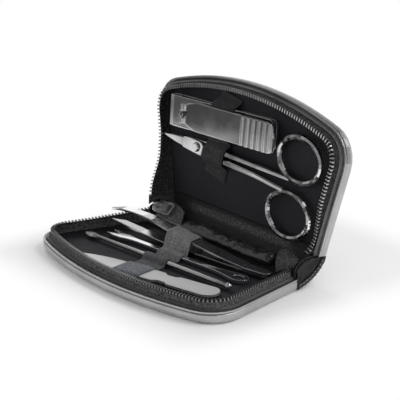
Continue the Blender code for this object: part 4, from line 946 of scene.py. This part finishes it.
# The rounded end of the tape at the right, with its teeth along the rim
rim = hinge_curve([(40.4, -1.6, 8.0), (40.8, 0.8, 8.2), (40.6, 2.8, 8.8), (40.0, 3.7, 10.0),
                   (39.0, 3.2, 11.3), (37.4, 2.6, 12.2), (35.6, 2.4, 12.5)], 36)
inner = hinge_curve([(35.6, -1.7, 5.0), (34.0, -0.6, 6.2), (32.8, 0.4, 7.7), (32.4, 1.2, 9.3),
                     (32.6, 1.8, 10.8), (33.3, 2.2, 11.8), (34.2, 2.4, 12.4)], 36)
tongue = ply("right_tape_tongue", between_lines(rim, inner, 12, 0.9, (0.6, -0.6, 0.5)), 0.8, lobe_cloth)
follow_hinge(tongue, "woven_zip_tape")
teeth = edge_teeth("right_tongue_teeth", rim, inner, 0.3, TOOTH_PITCH * 0.8, (0.5, 1.0, 0.7), teeth_metal)
follow_hinge(teeth, "dark_zip_metal")


def rounded_box(start, end, half, near, far):
    """A plan outline from start to end along x, with one corner radius near start and one near end."""
    steps = 11
    corners = (((end - far, half - far), far, 0), ((start + near, half - near), near, 90),
               ((start + near, near - half), near, 180), ((end - far, far - half), far, 270))
    return np.concatenate([arc(centre, radius, radius, turn, turn + 90, steps)
                           for centre, radius, turn in corners])


def make_pull():
    """The zip pull: a plate with a raised rim and a window over the slider's bridge."""
    def outer(inset):
        return rounded_box(-1.3 + inset, 10.6 - inset, 2.75 - inset, 2.6 - inset, 1.0 - inset * 0.8)

    def window(outset):
        return rounded_box(0.8 - outset, 3.4 + outset, 1.15 + outset, 0.6, 0.6)

    loops = [(outer(0.2), -0.4), (outer(0.0), -0.2), (outer(0.0), 0.3), (outer(0.18), 0.5), (outer(0.6), 0.5),
             (outer(0.8), 0.28), (window(0.5), 0.28), (window(0.35), 0.45), (window(0.1), 0.42),
             (window(0.0), 0.2), (window(0.0), -0.4)]
    rows = np.array([np.column_stack([plan, np.full(len(plan), height)]) for plan, height in loops])
    tilt, turn = math.radians(4.0), math.radians(45.0)
    x = rows[..., 0] * math.cos(tilt) - rows[..., 2] * math.sin(tilt) - 0.8
    up = rows[..., 0] * math.sin(tilt) + rows[..., 2] * math.cos(tilt) + 2.0
    y = rows[..., 1]
    slider = (-HINGE_HALF + 0.5, BASE_BACK + HINGE_BACK - 0.55, HINGE_UP + 1.05)
    places = np.stack([x, y * math.cos(turn) - up * math.sin(turn),
                       y * math.sin(turn) + up * math.cos(turn)], -1) + slider
    faces = skin(rows.shape[:2], caps=False)
    count = rows.shape[1]
    last = (len(loops) - 1) * count
    faces += [(last + i, last + (i + 1) % count, (i + 1) % count, i) for i in range(count)]
    pull = piece("zip_pull", places.reshape(-1, 3), faces, pull_metal, angle=50)
    ride_on(pull, "zip_tab", "dark_zip_metal", "zip_tab")


make_pull()

# The tape's apron under the pull, with the closed teeth along its lower edge
top = hinge_curve([(-37.0, 6.0, 11.2), (-33.8, 6.0, 11.1), (-30.4, 5.8, 10.7), (-27.0, 5.2, 9.7)], 30)
foot = hinge_curve([(-38.0, 0.1, 6.6), (-34.0, 0.5, 6.0), (-29.6, 1.4, 5.5), (-25.4, 2.3, 5.1)], 30)
apron = ply("left_tape_apron", between_lines(top, foot, 12, 0.1, (0, -1, 1)), 0.6, apron_cloth)
ride_on(apron, "base", "woven_zip_tape")
teeth = edge_teeth("left_apron_teeth", foot, top, 0.35, TOOTH_PITCH * 0.7, (0.45, 1.1, 0.6),
                   lid_teeth_metal)
ride_on(teeth, "base", "dark_zip_metal")


# Stage: a pale floor that fades into a white background, soft lamps and the camera
WHITE = (1, 1, 1, 1)


def stage_piece(name, paint, vertices, faces):
    """A piece of the stage, and the tree of its material, which is still empty."""
    mesh = bpy.data.meshes.new(name)
    mesh.from_pydata(vertices, [], faces)
    material = bpy.data.materials.new(paint)
    material.use_nodes = True
    material.node_tree.nodes.clear()
    mesh.materials.append(material)
    return put(name, mesh), material.node_tree


def glow(tree, kind, strength):
    """A white Background or Emission."""
    return node(tree, kind, {"Color": WHITE, "Strength": strength}).outputs[0]


def mix_shader(tree, factor, first, second):
    return node(tree, "MixShader", {0: factor, 1: first, 2: second}).outputs[0]


def in_metal_or_glass(tree, path):
    return maths(tree, "MAXIMUM", path["Is Glossy Ray"], path["Is Transmission Ray"])


def make_floor():
    """Paper that takes the case's shadow close to it and is plain white further out."""
    side = 3.0
    corners = [(-side, -side, 0), (side, -side, 0), (side, side, 0), (-side, side, 0)]
    floor, tree = stage_piece("studio_floor", "studio_paper", corners, [(0, 1, 2, 3)])
    floor.location.z = -0.00005
    paper = node(tree, "BsdfPrincipled", {"Base Color": (0.82, 0.82, 0.82, 1), "Roughness": 0.8,
                                          "Specular IOR Level": 0.1})
    apart = split(tree, node(tree, "TexCoord").outputs["Object"])
    beside = {}
    for axis, middle, half in (("X", 0.0, 0.05), ("Y", 0.028, 0.052)):
        past = maths(tree, "SUBTRACT", away(tree, apart[axis], middle), half)
        beside[axis] = maths(tree, "MAXIMUM", past, 0.0)
    length = node(tree, "VectorMath", {0: node(tree, "CombineXYZ", beside).outputs[0]}, operation="LENGTH")
    fade = ranged(tree, length.outputs["Value"], 0.001, 0.023, interpolation_type="SMOOTHSTEP")
    path = node(tree, "LightPath").outputs
    seen = maths(tree, "MAXIMUM", in_metal_or_glass(tree, path), path["Is Camera Ray"])
    mixed = mix_shader(tree, maths(tree, "MULTIPLY", fade, seen), paper.outputs[0],
                       glow(tree, "Emission", 1.0))
    node(tree, "OutputMaterial", {0: mixed})


def make_world():
    """White for the camera and for metal, dimmer for the light that falls on the object."""
    world = bpy.data.worlds.new("studio")
    bpy.context.scene.world = world
    world.use_nodes = True
    tree = world.node_tree
    tree.nodes.clear()
    path = node(tree, "LightPath").outputs
    height = split(tree, node(tree, "TexCoord").outputs["Generated"])["Z"]
    room = ranged(tree, height, 0.3, 0.62, 1.0, 0.1, interpolation_type="SMOOTHSTEP")
    dome = ranged(tree, height, 0.3, 0.7, 1.9, 0.36, interpolation_type="SMOOTHSTEP")
    lit = mix_shader(tree, in_metal_or_glass(tree, path), glow(tree, "Background", dome),
                     glow(tree, "Background", room))
    whole = mix_shader(tree, path["Is Camera Ray"], lit, glow(tree, "Background", 1.0))
    node(tree, "OutputWorld", {0: whole})


def dark_card(name, turn, tones, ring):
    """A curved dark card beside the case, which only metal shows; tones are low, high and its foot's."""
    low, high, foot_tone = tones
    angles = np.radians(np.linspace(*turn, 27))
    vertices = [(reach * math.cos(a), reach * math.sin(a), height) for height, reach in ring for a in angles]
    faces = skin((len(ring), len(angles)), ring=False, caps=False)
    card, tree = stage_piece(name, name + "_paint", vertices, faces)
    card.data.shade_smooth()
    place = node(tree, "TexCoord").outputs["Object"]
    tone = ranged(tree, clouds(tree, place, 17.0, 2.0), 0.42, 0.62, low, high)
    apart = split(tree, place)
    foot = ranged(tree, apart["Z"], 0.008, 0.018, foot_tone, 0.0)
    window = ranged(tree, apart["X"], -0.146, -0.153)
    strength = maths(tree, "MAXIMUM", tone, maths(tree, "MULTIPLY", foot, window))
    node(tree, "OutputMaterial", {0: glow(tree, "Emission", strength)})
    card.visible_camera = card.visible_diffuse = card.visible_shadow = card.visible_transmission = False


def lamp(name, place, aim, size, power):
    light = bpy.data.lights.new(name, "AREA")
    light.shape = "RECTANGLE"
    light.size, light.size_y = size
    light.energy = power
    made = put(name, light)
    made.location = place
    made.rotation_euler = (Vector(aim) - Vector(place)).to_track_quat("-Z", "Y").to_euler()


make_floor()
make_world()
dark_card("dark_card", (-211, -62), (0.07, 0.5, 0.8),
          ((0.001, 0.16), (0.06, 0.26), (0.2, 0.34), (0.45, 0.36)))
dark_card("grey_card", (-62, 48), (0.08, 0.3, 0.3), ((0.001, 0.34), (0.2, 0.38), (0.4, 0.38)))
CASE_MIDDLE = (0, 0.01, 0.02)
lamp("rear_softbox", (0.42, 0.36, 0.62), CASE_MIDDLE, (0.5, 0.5), 2.6)
lamp("side_strip", (-0.62, 0.22, 0.40), CASE_MIDDLE, (0.12, 0.25), 1.0)

# The camera's place and its three axes
PLACE = Vector((0.47196, -0.35025, 0.21942))
RIGHT = Vector((0.61565, 0.78802, 0.0))
UP = Vector((-0.24430, 0.19086, 0.95073))
BACK = Vector((0.74920, -0.58531, 0.31001))
camera = bpy.data.cameras.new("photo_camera")
camera.sensor_width = 36.0
camera.lens = 156.15
camera.clip_start = 0.01
view = put("photo_camera", camera)
view.matrix_world = Matrix.Translation(PLACE) @ Matrix((RIGHT, UP, BACK)).transposed().to_4x4()
bpy.context.scene.camera = view
bpy.context.scene.view_settings.view_transform = "Standard"
